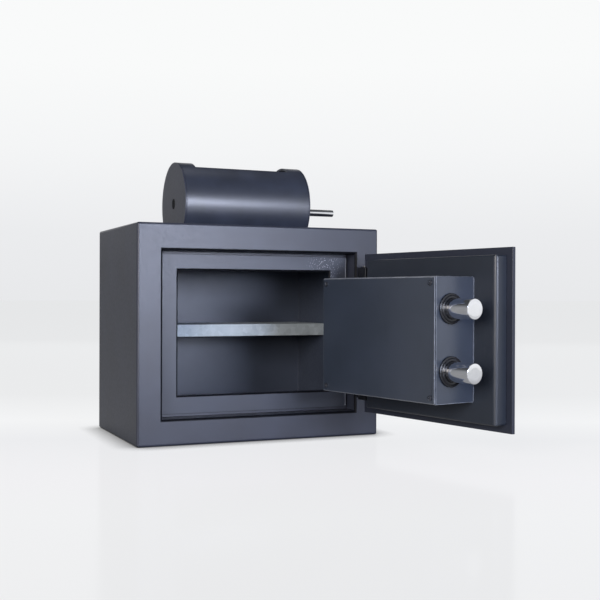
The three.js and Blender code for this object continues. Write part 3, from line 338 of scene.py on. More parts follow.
@dataclass(frozen=True)
class Turned(Surface):
    """Metal cut on a lathe, with the tool's fine rings left round the axis.

    Attributes:
        ring_mm: Distance between two rings, coarser than real ones so that they show.
    """

    metallic: float = 1.0
    spread: float = 0.05
    grain_mm: float = 2.0
    grain_detail: float = 2.0
    cloud_edge: float = 0.3
    ring_mm: float = 1.2

    def pattern(self, sheet: NodeSheet, place: Feed, cloud: Feed, grain: Feed) -> Leads:
        """Let the height follow the rings, which run along the turned profile's first UV.

        Args:
            sheet: Node tree of the material.
            place: Point of the surface, in metres.
            cloud: Wide noise.
            grain: Fine noise.

        Returns:
            The values that the colour, the roughness and the height follow.
        """
        along = sheet.add("TexCoord").outputs["UV"]
        rings = sheet.add("TexWave", {"Vector": along, "Scale": 1 / (self.ring_mm * MM) / (2 * math.pi)},
                          wave_type="BANDS", bands_direction="X")
        return cloud, grain, rings.outputs["Fac"]


class Finishes:
    """Every finish of the safe, made once and handed out by name."""

    def __init__(self) -> None:
        """Make the materials, and the smoothing that the kept solids share."""
        self.smooth = smooth_curves()
        # Anthracite polyester powder: dark blue-grey, half matt, with a fine orange peel.
        self.outside = PowderCoat("anthracite_powder_coat", "#303544", "#2b2f3c", roughness=0.37).build()
        # The same on the hopper's rolled sheet, a little glossier and less even.
        self.hood = PowderCoat("anthracite_powder_coat_hood", "#2f3544", "#272c38", roughness=0.33,
                               spread=0.012, depth_mm=0.004, cloud_mm=30.0, ior=1.68).build()
        # The same powder on the frame round the opening, where dust got under it near one corner.
        self.ring = PowderCoat("anthracite_powder_coat_frame", "#303645", "#2b303d", roughness=0.38,
                               spread=0.04, depth_mm=0.014, speck="#b4b9c6",
                               speck_at=(0.107, -0.0920, 0.2465), speck_reach=0.032).build()
        # Painted shade on the rounded folds and on the drum's pivot screw: a near-black coat, so that
        # edges, gaps and the screw's slot read as shadow lines.
        self.fold = Surface("painted_shade_on_folds", "#090c14", "#07090f", roughness=0.55, grain_mm=1.0,
                            depth_mm=0.01, cloud_mm=30.0, ior=1.25).build()
        # Weld beads under the coat stand proud; their pale colour is a painted highlight along them.
        self.bead = Surface("weld_bead_painted_highlight", "#5a6272", "#4a515f", roughness=0.4, depth_mm=0.02,
                            cloud_mm=8.0).build()
        # The door's plate, a shade deeper than the body: painted shade for the door's shaded inner side.
        self.plate = PowderCoat("anthracite_plate_painted_shade", "#2a2f3d", "#262a37", roughness=0.38,
                                ior=1.45).build()
        # Near-black on the hinges and the hinge-side bar, fairly dull: painted shade for the dark gap
        # between door and body.
        self.hinge = PowderCoat("hinge_painted_shade", "#13161d", "#101319", roughness=0.4, grain_mm=1.4,
                                depth_mm=0.008, ior=1.4).build()
        # Painted highlight on the case's rounded rims: a paler coat, so that they show as bright lines.
        self.rim = Surface("painted_highlight_on_rims", "#7c828d", "#666c78", roughness=0.3, depth_mm=0.005,
                           cloud_mm=14.0).build()
        # The door's tray, deeper in tone than its lock case: painted shade, as the tray lies in the case's
        # shadow.
        self.tray = PowderCoat("anthracite_tray_painted_shade", "#272d38", "#232933", roughness=0.36,
                               spread=0.04, grain_mm=1.2, depth_mm=0.008).build()
        # A thinner, smoother coat on the lock case and its cover, a little lighter than the body's: painted
        # light on the case.
        self.case = PowderCoat("anthracite_satin_painted_light", "#343c4b", "#2f3744", roughness=0.29,
                               spread=0.012, grain_mm=1.2, depth_mm=0.003, ior=1.72).build()
        # The inside was sprayed through the opening: bluer and less even than the outside.
        self.inside = PowderCoat("blue_grey_inside_coat", "#3a4252", "#333a49", roughness=0.4,
                                 spread=0.04, grain_mm=1.8, depth_mm=0.014).build()
        # Galvanised sheet of shelf and combs, its spangle dulled by age.
        self.galvanised = Galvanised("galvanised_sheet", "#adb7be", "#98a2a9", metallic=0.5,
                                     roughness=0.62, grain_mm=2.5, depth_mm=0.01, cloud_mm=22.0).build()
        # Hard chrome on steel: a mirror with faint turning marks.
        self.chrome = Turned("bright_chrome_plate", "#e8e9ec", "#dfe1e5", roughness=0.09, spread=0.02,
                             grain_mm=4.0, depth_mm=0.001, cloud_mm=15.0).build()
        # Turned, unplated mild steel of pins, spindle and lock works.
        self.steel = Turned("turned_mild_steel", "#a3a4a6", "#8f9092", roughness=0.32, depth_mm=0.004,
                            cloud_mm=12.0).build()
        # Folded and punched steel strip, mill finish.
        self.strip = Surface("mill_finish_steel", "#9b9c9e", "#85868a", metallic=1.0, roughness=0.4,
                             spread=0.07, grain_mm=1.2, depth_mm=0.006, cloud_mm=14.0).build()
        # Free-cutting brass of bushes and key cylinder.
        self.brass = Turned("free_cutting_brass", "#c9a35a", "#b28d48", roughness=0.28, depth_mm=0.003,
                            cloud_mm=10.0).build()
        # Black glass-filled nylon, moulded with a gloss.
        self.nylon = Surface("glossy_black_nylon", "#14161d", "#0f1117", roughness=0.24, spread=0.03,
                             grain_mm=1.0, depth_mm=0.004, cloud_mm=20.0, ior=1.53).build()
        # Matt black nylon of the knob, with a spark-eroded grain.
        self.grip = Surface("grained_black_nylon", "#1f2024", "#1a1b1f", roughness=0.48, spread=0.05,
                            grain_mm=0.9, cloud_mm=25.0, ior=1.53).build()
        # Black oxide on the case screws, worn to grey steel.
        self.oxide = Surface("black_oxide_steel", "#7b7e87", "#62656e", metallic=1.0, roughness=0.3,
                             spread=0.06, grain_mm=0.8, depth_mm=0.004, cloud_mm=6.0).build()
        # Light mineral filling, cast between the sheets.
        self.filling = Surface("cast_mineral_filling", "#a7a49b", "#8d8a82", roughness=0.9, spread=0.05,
                               grain_mm=3.0, depth_mm=0.4, cloud_mm=12.0).build()


def modifier_sheet(name: str) -> tuple[NodeSheet, Node]:
    """Start a modifier's tree.

    Args:
        name: Name of the tree.

    Returns:
        Its sheet, and the node that hands in the shape.
    """
    tree = bpy.data.node_groups.new(name, "GeometryNodeTree")
    tree.is_modifier = True
    for way in ("INPUT", "OUTPUT"):
        tree.interface.new_socket("Geometry", in_out=way, socket_type="NodeSocketGeometry")
    sheet = NodeSheet(tree)
    return sheet, sheet.add("NodeGroupInput")


def smooth_curves(sharp_deg: float = 24.0) -> NodeTree:
    """Make the modifier tree that shades a solid smooth up to its sharp edges.

    Args:
        sharp_deg: Edges that turn by more than this stay sharp.

    Returns:
        The tree, for the modifiers of the kept solids.
    """
    sheet, shape = modifier_sheet("smooth_curves")
    even = sheet.add("GeometryNodeSetShadeSmooth", {"Geometry": shape, "Shade Smooth": True}, domain="FACE")
    angle = sheet.add("GeometryNodeInputMeshEdgeAngle").outputs["Unsigned Angle"]
    gentle = sheet.add("FunctionNodeCompare", {"A": angle, "B": math.radians(sharp_deg)},
                       data_type="FLOAT", operation="LESS_EQUAL")
    done = sheet.add("GeometryNodeSetShadeSmooth", {"Geometry": even, "Shade Smooth": gentle},
                     domain="EDGE")
    sheet.add("NodeGroupOutput", {"Geometry": done})
    return sheet.tree


def fold_marks(front_mm: float, rest_share: float, border_mm: float, sharp_deg: float) -> NodeTree:
    """Make the modifier tree that marks how far each sharp edge is rounded.

    Args:
        front_mm: Edges in front of this depth are folds and get the whole radius.
        rest_share: Share of the radius that the other edges get.
        border_mm: Edges nearer than this to the solid's own outline are no folds either.
        sharp_deg: Edges that turn by less than this aren't rounded.

    Returns:
        The tree, for a modifier that stands before the rounding.
    """
    sheet, shape = modifier_sheet("fold_marks")
    place = sheet.add("GeometryNodeInputPosition")
    depth = sheet.add("ShaderNodeSeparateXYZ", {0: place}).outputs["Y"]
    front = sheet.add("ShaderNodeMath", {0: depth, 1: front_mm * MM}, operation="LESS_THAN")
    box = sheet.add("GeometryNodeBoundBox", {"Geometry": shape}).outputs
    above = sheet.add("ShaderNodeVectorMath", {0: place, 1: box["Min"]}, operation="SUBTRACT")
    below = sheet.add("ShaderNodeVectorMath", {0: box["Max"], 1: place}, operation="SUBTRACT")
    least = sheet.add("ShaderNodeVectorMath", {0: above, 1: below}, operation="MINIMUM")
    apart = sheet.add("ShaderNodeSeparateXYZ", {0: least}).outputs
    nearest = sheet.add("ShaderNodeMath", {0: apart["X"], 1: apart["Z"]}, operation="MINIMUM")
    inner = sheet.add("ShaderNodeMath", {0: nearest, 1: border_mm * MM}, operation="GREATER_THAN")
    fold = sheet.add("ShaderNodeMath", {0: front, 1: inner}, operation="MULTIPLY")
    share = sheet.add("ShaderNodeMath", {0: fold, 1: 1 - rest_share, 2: rest_share},
                      operation="MULTIPLY_ADD")
    angle = sheet.add("GeometryNodeInputMeshEdgeAngle").outputs["Unsigned Angle"]
    sharp = sheet.add("ShaderNodeMath", {0: angle, 1: math.radians(sharp_deg)}, operation="GREATER_THAN")
    weight = sheet.add("ShaderNodeMath", {0: share, 1: sharp}, operation="MULTIPLY")
    marked = sheet.add("GeometryNodeStoreNamedAttribute", {
        "Geometry": shape, "Name": "bevel_weight_edge", "Value": weight}, data_type="FLOAT", domain="EDGE")
    sheet.add("NodeGroupOutput", {"Geometry": marked})
    return sheet.tree


class MeshWork:
    """A mesh that is put together from turned and swept forms, in metres."""

    def __init__(self) -> None:
        """Start empty."""
        self.mesh = bmesh.new()
        self.uv = self.mesh.loops.layers.uv.new("UVMap")

    def ring(self, place: Matrix, points: Iterable[Point]) -> Ring:
        """Add a ring of points in the place's own millimetres."""
        return [self.mesh.verts.new(place @ (Vector(p) * MM)) for p in points]

    def bridge(self, low: Ring, high: Ring, along: tuple[float, float] = (0.0, 0.0)) -> None:
        """Join two rings with quads.

        Args:
            low: Ring at the start of the run.
            high: Ring at its end, with as many points.
            along: Lengths in millimetres between which the first UV runs.
        """
        count = len(low)
        for i in range(count):
            j = (i + 1) % count
            face = self.mesh.faces.new((low[i], low[j], high[j], high[i]))
            for loop, u in zip(face.loops, (along[0], along[0], along[1], along[1])):
                loop[self.uv].uv = (u * MM, i / count)

    def cap(self, ring: Ring, centre: Vector, outward: bool,
            along: tuple[float, float] = (0.0, 0.0)) -> None:
        """Close a ring with a fan.

        Args:
            ring: The ring.
            centre: Tip of the fan, in metres.
            outward: Whether the fan looks along the run.
            along: Lengths in millimetres of ring and tip, for the first UV.
        """
        middle = self.mesh.verts.new(centre)
        for i in range(len(ring)):
            j = (i + 1) % len(ring)
            order = (ring[i], ring[j], middle) if outward else (ring[j], ring[i], middle)
            face = self.mesh.faces.new(order)
            for loop in face.loops:
                u = along[1] if loop.vert is middle else along[0]
                loop[self.uv].uv = (u * MM, i / len(ring))

    def turned(self, place: Matrix, profile: Profile, steps: int,
               radius_of: Callable[[float, float], float] | None = None) -> None:
        """Turn a profile round the place's Z axis.

        Args:
            place: Where the axis stands.
            profile: Pairs of radius and height in millimetres, from the lower centre to the upper one.
                A first or last radius of zero closes that end; otherwise the profile is a closed loop.
            steps: Points round the axis.
            radius_of: Changes a radius by the angle, for lobes.
        """
        shape = radius_of or (lambda radius, turn: radius)
        turns = [2 * math.pi * i / steps for i in range(steps)]
        run = [0.0]
        for (r0, h0), (r1, h1) in zip(profile, profile[1:]):
            run.append(run[-1] + math.hypot(r1 - r0, h1 - h0))
        rings = [self.ring(place, [
            (shape(radius, t) * math.cos(t), shape(radius, t) * math.sin(t), height) for t in turns
        ]) if radius else None for radius, height in profile]
        for a, b in zip(range(len(rings)), range(1, len(rings))):
            if rings[a] and rings[b]:
                self.bridge(rings[a], rings[b], (run[a], run[b]))
            else:
                tip, rim = (b, a) if rings[a] else (a, b)
                centre = place @ Vector((0, 0, profile[tip][1] * MM))
                self.cap(rings[rim], centre, tip > rim, (run[rim], run[tip]))
        if rings[0]:
            self.bridge(rings[-1], rings[0])

    def bead(self, start: Vector, end: Vector, radius_mm: float, parts: int, steps: int = 10) -> None:
        """Lay a straight round bead.

        Args:
            start: First point, in metres.
            end: Last point, in metres.
            radius_mm: Radius of the bead.
            parts: Parts of its run.
            steps: Points round it.
        """
        ahead = (end - start).normalized()
        side = ahead.orthogonal().normalized()
        up = ahead.cross(side)
        turns = [2 * math.pi * i / steps for i in range(steps)]
        rim = [(side * math.cos(t) + up * math.sin(t)) * radius_mm * MM for t in turns]
        rings = [[self.mesh.verts.new(start.lerp(end, i / parts) + out) for out in rim]
                 for i in range(parts + 1)]
        for low, high in zip(rings, rings[1:]):
            self.bridge(low, high)
        self.cap(rings[0], start, False)
        self.cap(rings[-1], end, True)

    def make(self, name: str, material: Material, sharp_deg: float = 32.0) -> Object:
        """Finish the mesh and link its object.

        Args:
            name: Name of the piece.
            material: Its finish.
            sharp_deg: Edges that turn by more than this stay sharp.

        Returns:
            The object, at the origin.
        """
        bmesh.ops.recalc_face_normals(self.mesh, faces=self.mesh.faces)
        data = bpy.data.meshes.new(name)
        self.mesh.to_mesh(data)
        self.mesh.free()
        data.materials.append(material)
        data.shade_smooth()
        data.set_sharp_from_angle(angle=math.radians(sharp_deg))
        piece = bpy.data.objects.new(name, data)
        bpy.context.scene.collection.objects.link(piece)
        return piece


def facing(origin: Vector, direction: Vector) -> Matrix:
    """Return a frame at origin whose Z axis looks along direction."""
    turn = direction.to_track_quat("Z", "Y").to_matrix().to_4x4()
    return Matrix.Translation(origin) @ turn


def set_on(steps: Profile, radius: float, height: float) -> list[tuple[float, float]]:
    """Return a rim's steps, set on a radius and a height."""
    return [(radius + out, height + up) for out, up in steps]


@dataclass
class Assembly:
    """A group of pieces that ride on one or more bodies.

    Attributes:
        finishes: The shared finishes.
        weld_mm: Corners of a solid that are closer than this are one.
        flat_deg: Faces that turn by less than this are one.
        sharp_deg: Edges that turn by more than this are rounded.
        segments: Facets of a rounded edge.
        fold_segments: Facets of a rounded fold.
        fold_zone_mm: Depth behind the front face in which edges are folds.
        rest_share: Share of the radius that other edges get.
        border_mm: Edges this near to the solid's outline are no folds.
        bead_mm: Radius of a weld bead.
        bead_parts: Parts of a bead's run.
    """

    finishes: Finishes
    weld_mm: float = 0.005
    flat_deg: float = 0.4
    sharp_deg: float = 38.0
    segments: int = 3
    fold_segments: int = 5
    fold_zone_mm: float = 0.2
    rest_share: float = 0.2
    border_mm: float = 4.0
    bead_mm: float = 0.9
    bead_parts: int = 40

    def corners(self, node: str, place: Matrix = Matrix.Identity(4)) -> tuple[Vector, Vector]:
        """Find a node's lowest and highest corner.

        Args:
            node: Name of the solid.
            place: Frame in which they are taken.

        Returns:
            Both corners, in millimetres.
        """
        inverse = place.inverted()
        points = [inverse @ vertex.co for vertex in frame["nodes"][node].data.vertices]
        low = Vector([min(p[axis] for p in points) for axis in range(3)])
        high = Vector([max(p[axis] for p in points) for axis in range(3)])
        return low / MM, high / MM

    def dress(self, material: Material, edge: Edge, *nodes: str,
              fold: Material | None = None, front_only: bool = False) -> None:
        """Give kept solids their finish and soften their edges.

        Args:
            material: Their finish.
            edge: How wide their edges are rounded.
            *nodes: Names of the solids.
            fold: Finish of the rounded edges, where it differs: painted shade on the folds, painted
                highlight on the case's rims.
            front_only: Whether only edges in the front face are folds; the rest are rounded less.
        """
        for node in nodes:
            piece = frame["nodes"][node]
            finish = piece.data.materials
            if not finish:
                finish.append(material)
            for index in range(len(finish)):
                finish[index] = material
            joined = piece.modifiers.new("joined_corners", "WELD")
            joined.merge_threshold = self.weld_mm * MM
            if edge is not Edge.SHARP:
                self.soften(piece, edge, front_only)
                if fold:
                    finish.append(fold)
                    piece.modifiers["soft_edges"].material = len(finish) - 1
            smooth = piece.modifiers.new("smooth_curves", "NODES")
            smooth.node_group = self.finishes.smooth
            even = piece.modifiers.new("even_faces", "WEIGHTED_NORMAL")
            even.keep_sharp = True
            LOG.info("dressed %s in %s", node, material.name)

    def soften(self, piece: Object, edge: Edge, front_only: bool) -> None:
        """Round a solid's sharp edges.

        Args:
            piece: The solid.
            edge: How wide they are rounded.
            front_only: Whether only folds in the front face get the whole radius.
        """
        flat = piece.modifiers.new("flat_faces", "DECIMATE")
        flat.decimate_type = "DISSOLVE"
        flat.angle_limit = math.radians(self.flat_deg)
        if front_only:
            front_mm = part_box(piece.name)[0][1] / MM + self.fold_zone_mm
            marks = piece.modifiers.new("fold_marks", "NODES")
            marks.node_group = fold_marks(front_mm, self.rest_share, self.border_mm, self.sharp_deg)
        soft = piece.modifiers.new("soft_edges", "BEVEL")
        soft.width = edge.value * MM
        soft.segments = self.fold_segments if front_only else self.segments
        soft.limit_method = "WEIGHT" if front_only else "ANGLE"
        soft.angle_limit = math.radians(self.sharp_deg)
        soft.use_clamp_overlap = edge.value < Edge.PLATE.value

    def fit(self, piece: Object, body: str, slot: Slot, *nodes: str) -> None:
        """Let a new piece ride on a body and stand for its nodes.

        Args:
            piece: The new piece.
            body: Body that it rides on.
            slot: Material slot of its finish; not used.
            *nodes: Solids that it replaces.
        """
        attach(piece, body)
        if nodes:
            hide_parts(*nodes)
        LOG.info("made %s on %s for %s", piece.name, body, ", ".join(nodes) or "nothing")

    def weld(self, name: str, body: str, low: Vector, high: Vector) -> None:
        """Lay a thin straight weld bead, whose pale colour is a painted highlight.

        Args:
            name: Name of the piece.
            body: Body that it rides on.
            low: Lower end, in metres.
            high: Upper end, in metres.
        """
        work = MeshWork()
        work.bead(low, high, self.bead_mm, self.bead_parts)
        self.fit(work.make(name, self.finishes.bead), body, Slot.POWDER)


@dataclass
class Body(Assembly):
    """Outer shell, lining, frame of the opening, shelf and chute.

    Attributes:
        bead_inset_mm: How far the frame's weld ends short of its corners.
    """

    bead_inset_mm: float = 2.0

    def build(self) -> None:
        """Dress the body's sheets, and weld its frame."""
        f = self.finishes
        # The shell's front folds take the near-black painted shade.
        self.dress(f.outside, Edge.FOLD, "outer_shell", fold=f.fold, front_only=True)
        self.dress(f.filling, Edge.SHARP, "wall_filling")
        self.dress(f.inside, Edge.PLATE, "inner_liner")
        # The frame's front folds take the near-black painted shade.
        self.dress(f.ring, Edge.LIP, "door_frame", fold=f.fold, front_only=True)
        self.dress(f.galvanised, Edge.PLATE, "shelf")
        self.dress(f.inside, Edge.SHEET, "shelf_ledge_left", "shelf_ledge_right", "drop_chute")
        self.dress(f.galvanised, Edge.SHEET, "antifish_comb_front", "antifish_comb_rear")
        self.dress(f.nylon, Edge.PLATE, "anchor_plug_left", "anchor_plug_right")
        self.frame_bead()

    def frame_bead(self) -> None:
        """Lay the bead that runs up the frame's hinge-side edge and catches the light; its pale colour adds
        a painted highlight.
        """
        low, high = (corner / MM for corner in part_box("door_frame"))
        x, inset = high.x - self.bead_mm / 2, self.bead_inset_mm
        self.weld("frame_bead", "body", Vector((x, low.y, low.z + inset)) * MM,
                  Vector((x, low.y, high.z - inset)) * MM)


@dataclass
class Hopper(Assembly):
    """Round hopper on the roof, with its drum, bearing and handle.

    Attributes:
        stud_mm: Radius of the handle's stud in the drum.
        stud_edge_mm: Bevel of the stud's end.
        root_gap_mm: Gap between the drum's end and the handle's pin.
        pin_edge_mm: Bevel of the pin's end.
        pin_bow: Where the bevel's middle lies, as a share of it.
        steps: Points round the handle.
    """

    stud_mm: float = 3.0
    stud_edge_mm: float = 0.3
    root_gap_mm: float = 0.3
    pin_edge_mm: float = 0.7
    pin_bow: float = 0.3
    steps: int = 64

    def build(self) -> None:
        """Dress the hopper and make the drum's handle."""
        f = self.finishes
        self.dress(f.hood, Edge.SHEET, "hopper_hood")
        self.dress(f.outside, Edge.SHEET, "hopper_end_left", "hopper_end_right")
        self.dress(f.inside, Edge.SHEET, "drum_shell", "drum_end_left", "drum_end_right")
        # The pivot screw wears the near-black painted shade, so that its slot reads as a dark mark.
        self.dress(f.fold, Edge.SHARP, "drum_pivot_screw")
        self.dress(f.brass, Edge.SHEET, "drum_bearing_right", "drum_bush_left")
        self.handle()

    def handle(self) -> None:
        """Make the chromed pin that turns the drum."""
        low, high = self.corners("drum_handle")
        middle = (low + high) / 2
        radius, length = (high.z - low.z) / 2, high.x - low.x
        place = facing(Vector((low.x, middle.y, middle.z)) * MM, Vector((1, 0, 0)))
        root = self.corners("drum_end_right")[1].x - low.x + self.root_gap_mm
        stud, edge = self.stud_mm, self.pin_edge_mm
        bow = edge * self.pin_bow
        work = MeshWork()
        work.turned(place, [
            (0, 0), (stud - self.stud_edge_mm, 0), (stud, self.stud_edge_mm), (stud, root),
            (radius - edge / 2, root), (radius, root + edge / 2), (radius, length - edge),
            (radius - bow, length - bow), (radius - edge, length), (0, length),
        ], self.steps)
        self.fit(work.make("drum_pin", self.finishes.chrome), "drum", Slot.CHROME, "drum_handle")


@dataclass
class DoorAssembly(Assembly):
    """A group of pieces on the open door, worked out in the frame in which the door is shut.

    Attributes:
        steps: Points round a turned piece.
    """

    steps: int = 96

    def __post_init__(self) -> None:
        """Work out the frame in which the door is shut, from its hinge."""
        hinge = next(joint for joint in frame["joints"] if joint["name"] == "door_hinge")
        axis = Vector((*hinge["pos_m"][:2], 0))
        turn = Matrix.Rotation(math.radians(-hinge["range_deg"][0]), 4, "Z")
        self.shut = Matrix.Translation(axis) @ turn @ Matrix.Translation(-axis)

    def stand(self, point: Iterable[float], direction: Point) -> Matrix:
        """Return a frame at a point of the shut door, in millimetres, looking along a direction of it."""
        return self.shut @ facing(Vector(point) * MM, Vector(direction))


@dataclass
class Door(DoorAssembly):
    """Swinging door with its tray, hinges and lock case.

    Attributes:
        bead_inset_mm: How far the case's weld ends short of its corners.
        screw_seat_mm: Height of a screw's head in the CAD.
        screw_top_mm: Height of the domed head.
        screw_fall_mm: How much lower the head's rim is.
        cross_mm: Half width of the cross recess.
        cross_depth_mm: Depth of the cross recess.
        cross_reach: Length of its arms, as a share of the head's radius.
        shank_mm: Radius of the screw's shank.
        point_mm: Bevel of the shank's end.
        head_rings: Rings of the head, as shares of its radius.
        screw_steps: Points round a screw.
    """

    bead_inset_mm: float = 1.0
    screw_seat_mm: float = 1.8
    screw_top_mm: float = 1.75
    screw_fall_mm: float = 0.7
    cross_mm: float = 0.45
    cross_depth_mm: float = 0.9
    cross_reach: float = 0.62
    shank_mm: float = 2.0
    point_mm: float = 0.5
    head_rings: tuple[float, ...] = (1.0, 0.9, 0.75, 0.64, 0.6, 0.45, 0.3, 0.16)
    screw_steps: int = 24

    def build(self) -> None:
        """Dress the door's sheets and hinges, and make the case's screws and weld."""
        f = self.finishes
        # Plate and tray are a shade darker than the case: painted shade.
        self.dress(f.plate, Edge.PLATE, "door_plate")
        self.dress(f.tray, Edge.PLATE, "door_pan")
        self.dress(f.filling, Edge.SHARP, "door_core")
        # The case is a little lighter than the body as painted light, and its rims take the painted
        # highlight.
        self.dress(f.case, Edge.PLATE, "lock_case", "lock_case_cover", fold=f.rim)
        # The hinges wear the near-black painted shade.
        self.dress(f.hinge, Edge.PLATE, "hinge_side_bar", "hinge_bracket_lower", "hinge_bracket_upper",
                   "hinge_leaf_lower", "hinge_leaf_upper")
        self.dress(f.steel, Edge.SHEET, "hinge_pin_lower", "hinge_pin_upper")
        for number in (1, 2, 3, 4):
            self.case_screw(number)
        self.case_bead()

    def case_screw(self, number: int) -> None:
        """Make a domed case screw with a cross recess.

        Args:
            number: Which of the four screws.
        """
        node = f"cover_screw_{number}"
        low, high = self.corners(node, self.shut)
        middle = (low + high) / 2
        radius, shank = (high.z - low.z) / 2, self.shank_mm
        seat = high.y - self.screw_seat_mm - low.y
        top = seat + self.screw_top_mm
        place = self.stand((middle.x, low.y, middle.z), (0, 1, 0))

        def height(x: float, y: float) -> float:
            """Find the head's height at a point, with the cross cut out.

            Args:
                x: Place across the head, in millimetres.
                y: Place along the head, in millimetres.

            Returns:
                Height over the shank's end, in millimetres.
            """
            dome = top - self.screw_fall_mm * (x * x + y * y) / (radius * radius)
            across, along = sorted((abs(x), abs(y)))
            in_cross = across < self.cross_mm and along < radius * self.cross_reach
            return dome - (self.cross_depth_mm if in_cross else 0)

        work = MeshWork()
        count = self.screw_steps
        turns = [2 * math.pi * (i + 0.5) / count for i in range(count)]
        foot = ((shank - self.point_mm, 0.0), (shank, self.point_mm), (shank, seat), (radius, seat))
        rings = [work.ring(place, [(r * math.cos(t), r * math.sin(t), h) for t in turns]) for r, h in foot]
        for r in (radius * share for share in self.head_rings):
            points = [(r * math.cos(t), r * math.sin(t)) for t in turns]
            rings.append(work.ring(place, [(x, y, height(x, y)) for x, y in points]))
        for a, b in zip(rings, rings[1:]):
            work.bridge(a, b)
        work.cap(rings[0], place @ Vector((0, 0, 0)), False)
        work.cap(rings[-1], place @ Vector((0, 0, (top - self.cross_depth_mm) * MM)), True)
        self.fit(work.make(f"case_screw_{number}", self.finishes.oxide, sharp_deg=25), "door",
                 Slot.STEEL, node)

    def case_bead(self) -> None:
        """Lay the bead that joins the case's end to the tray; its pale colour is a painted highlight."""
        low, high = self.corners("lock_case", self.shut)
        tray = self.corners("door_pan", self.shut)[1]
        ends = [self.shut @ (Vector((low.x, tray.y, z)) * MM)
                for z in (low.z + self.bead_inset_mm, high.z - self.bead_inset_mm)]
        self.weld("case_bead", "door", *ends)


@dataclass
class BoltWork(DoorAssembly):
    """Two round bolts in their guides, with the works that drive them.

    Attributes:
        stud_mm: Radius of a bolt's stud in the bolt bar.
        seat_mm: Length of the stud, up to the bolt's shoulder.
        edge_mm: Bevel of stud, shoulder and the guide's shank.
        bolt_rim: Rounding of the bolt's end.
        gap_mm: Gap between bolt and guide, and the guide's lead-in.
        wall_mm: Wall of the guide's shank.
        collar_mm: Radius of the guide's collar.
        flange_rim: Steps of the guide's flange, over its back.
        collar_rim: Steps of the guide's collar, over the flange's back.
        mouth_rim: Rounding of the guide's mouth.
    """

    stud_mm: float = 5.0
    seat_mm: float = 14.3
    edge_mm: float = 0.4
    bolt_rim: Profile = ((0, -0.6), (-0.15, -0.25), (-0.5, -0.05), (-0.8, 0))
    gap_mm: float = 0.3
    wall_mm: float = 3.0
    collar_mm: float = 16.5
    flange_rim: Profile = ((-0.5, 0), (-0.1, 0.2), (0, 0.7), (0, 1.4), (-0.25, 1.95), (-0.8, 2.2))
    collar_rim: Profile = ((0.8, 2.2), (0.2, 2.35), (0, 2.8), (-0.2, 3.4), (-0.8, 3.8))
    mouth_rim: Profile = ((0.8, 0), (0.2, -0.2), (0, -0.7))

    def build(self) -> None:
        """Dress the works and make the bolts and their guides."""
        f = self.finishes
        self.dress(f.strip, Edge.SHEET, "bolt_bar", "bolt_yoke", "drive_arm", "lock_body", "lock_bolt",
                   "key_cam")
        self.dress(f.steel, Edge.SHARP, "yoke_screw_1", "yoke_screw_2")
        for level in ("lower", "upper"):
            self.bolt(level)
            self.guide(level)

    def bolt(self, level: str) -> None:
        """Make one chromed bolt, with a fine edge round its flat end.

        Args:
            level: Which bolt, lower or upper.
        """
        low, high = self.corners(f"bolt_{level}", self.shut)
        middle = (low + high) / 2
        radius, length = (high.z - low.z) / 2, high.x - low.x
        stud, seat, edge = self.stud_mm, self.seat_mm, self.edge_mm
        work = MeshWork()
        work.turned(self.stand((high.x, middle.y, middle.z), (-1, 0, 0)), [
            (0, 0), (stud - edge, 0), (stud, edge), (stud, seat), (radius - edge, seat),
            (radius, seat + edge), *set_on(self.bolt_rim, radius, length),
            (radius / 2, length), (0, length),
        ], self.steps)
        piece = work.make(f"chrome_bolt_{level}", self.finishes.chrome, sharp_deg=20)
        self.fit(piece, "bolts", Slot.CHROME, f"bolt_{level}")

    def guide(self, level: str) -> None:
        """Make the stepped nylon guide that a bolt slides in.

        Args:
            level: Which bolt's guide, lower or upper.
        """
        low, high = self.corners(f"bolt_guide_{level}", self.shut)
        bolt_low, bolt_high = self.corners(f"bolt_{level}", self.shut)
        middle = (bolt_low + bolt_high) / 2
        flange, length = (high.z - low.z) / 2, high.x - low.x
        bore = (bolt_high.z - bolt_low.z) / 2 + self.gap_mm
        shank, edge = bore + self.wall_mm, self.edge_mm
        back = length - self.collar_rim[-1][1]
        work = MeshWork()
        work.turned(self.stand((high.x, middle.y, middle.z), (-1, 0, 0)), [
            (bore, self.gap_mm), (bore + self.gap_mm, 0), (shank - edge, 0), (shank, edge), (shank, back),
            *set_on(self.flange_rim, flange, back), *set_on(self.collar_rim, self.collar_mm, back),
            *set_on(self.mouth_rim, bore, length),
        ], self.steps)
        piece = work.make(f"nylon_guide_{level}", self.finishes.nylon, sharp_deg=40)
        self.fit(piece, "door", Slot.PLASTIC, f"bolt_guide_{level}")


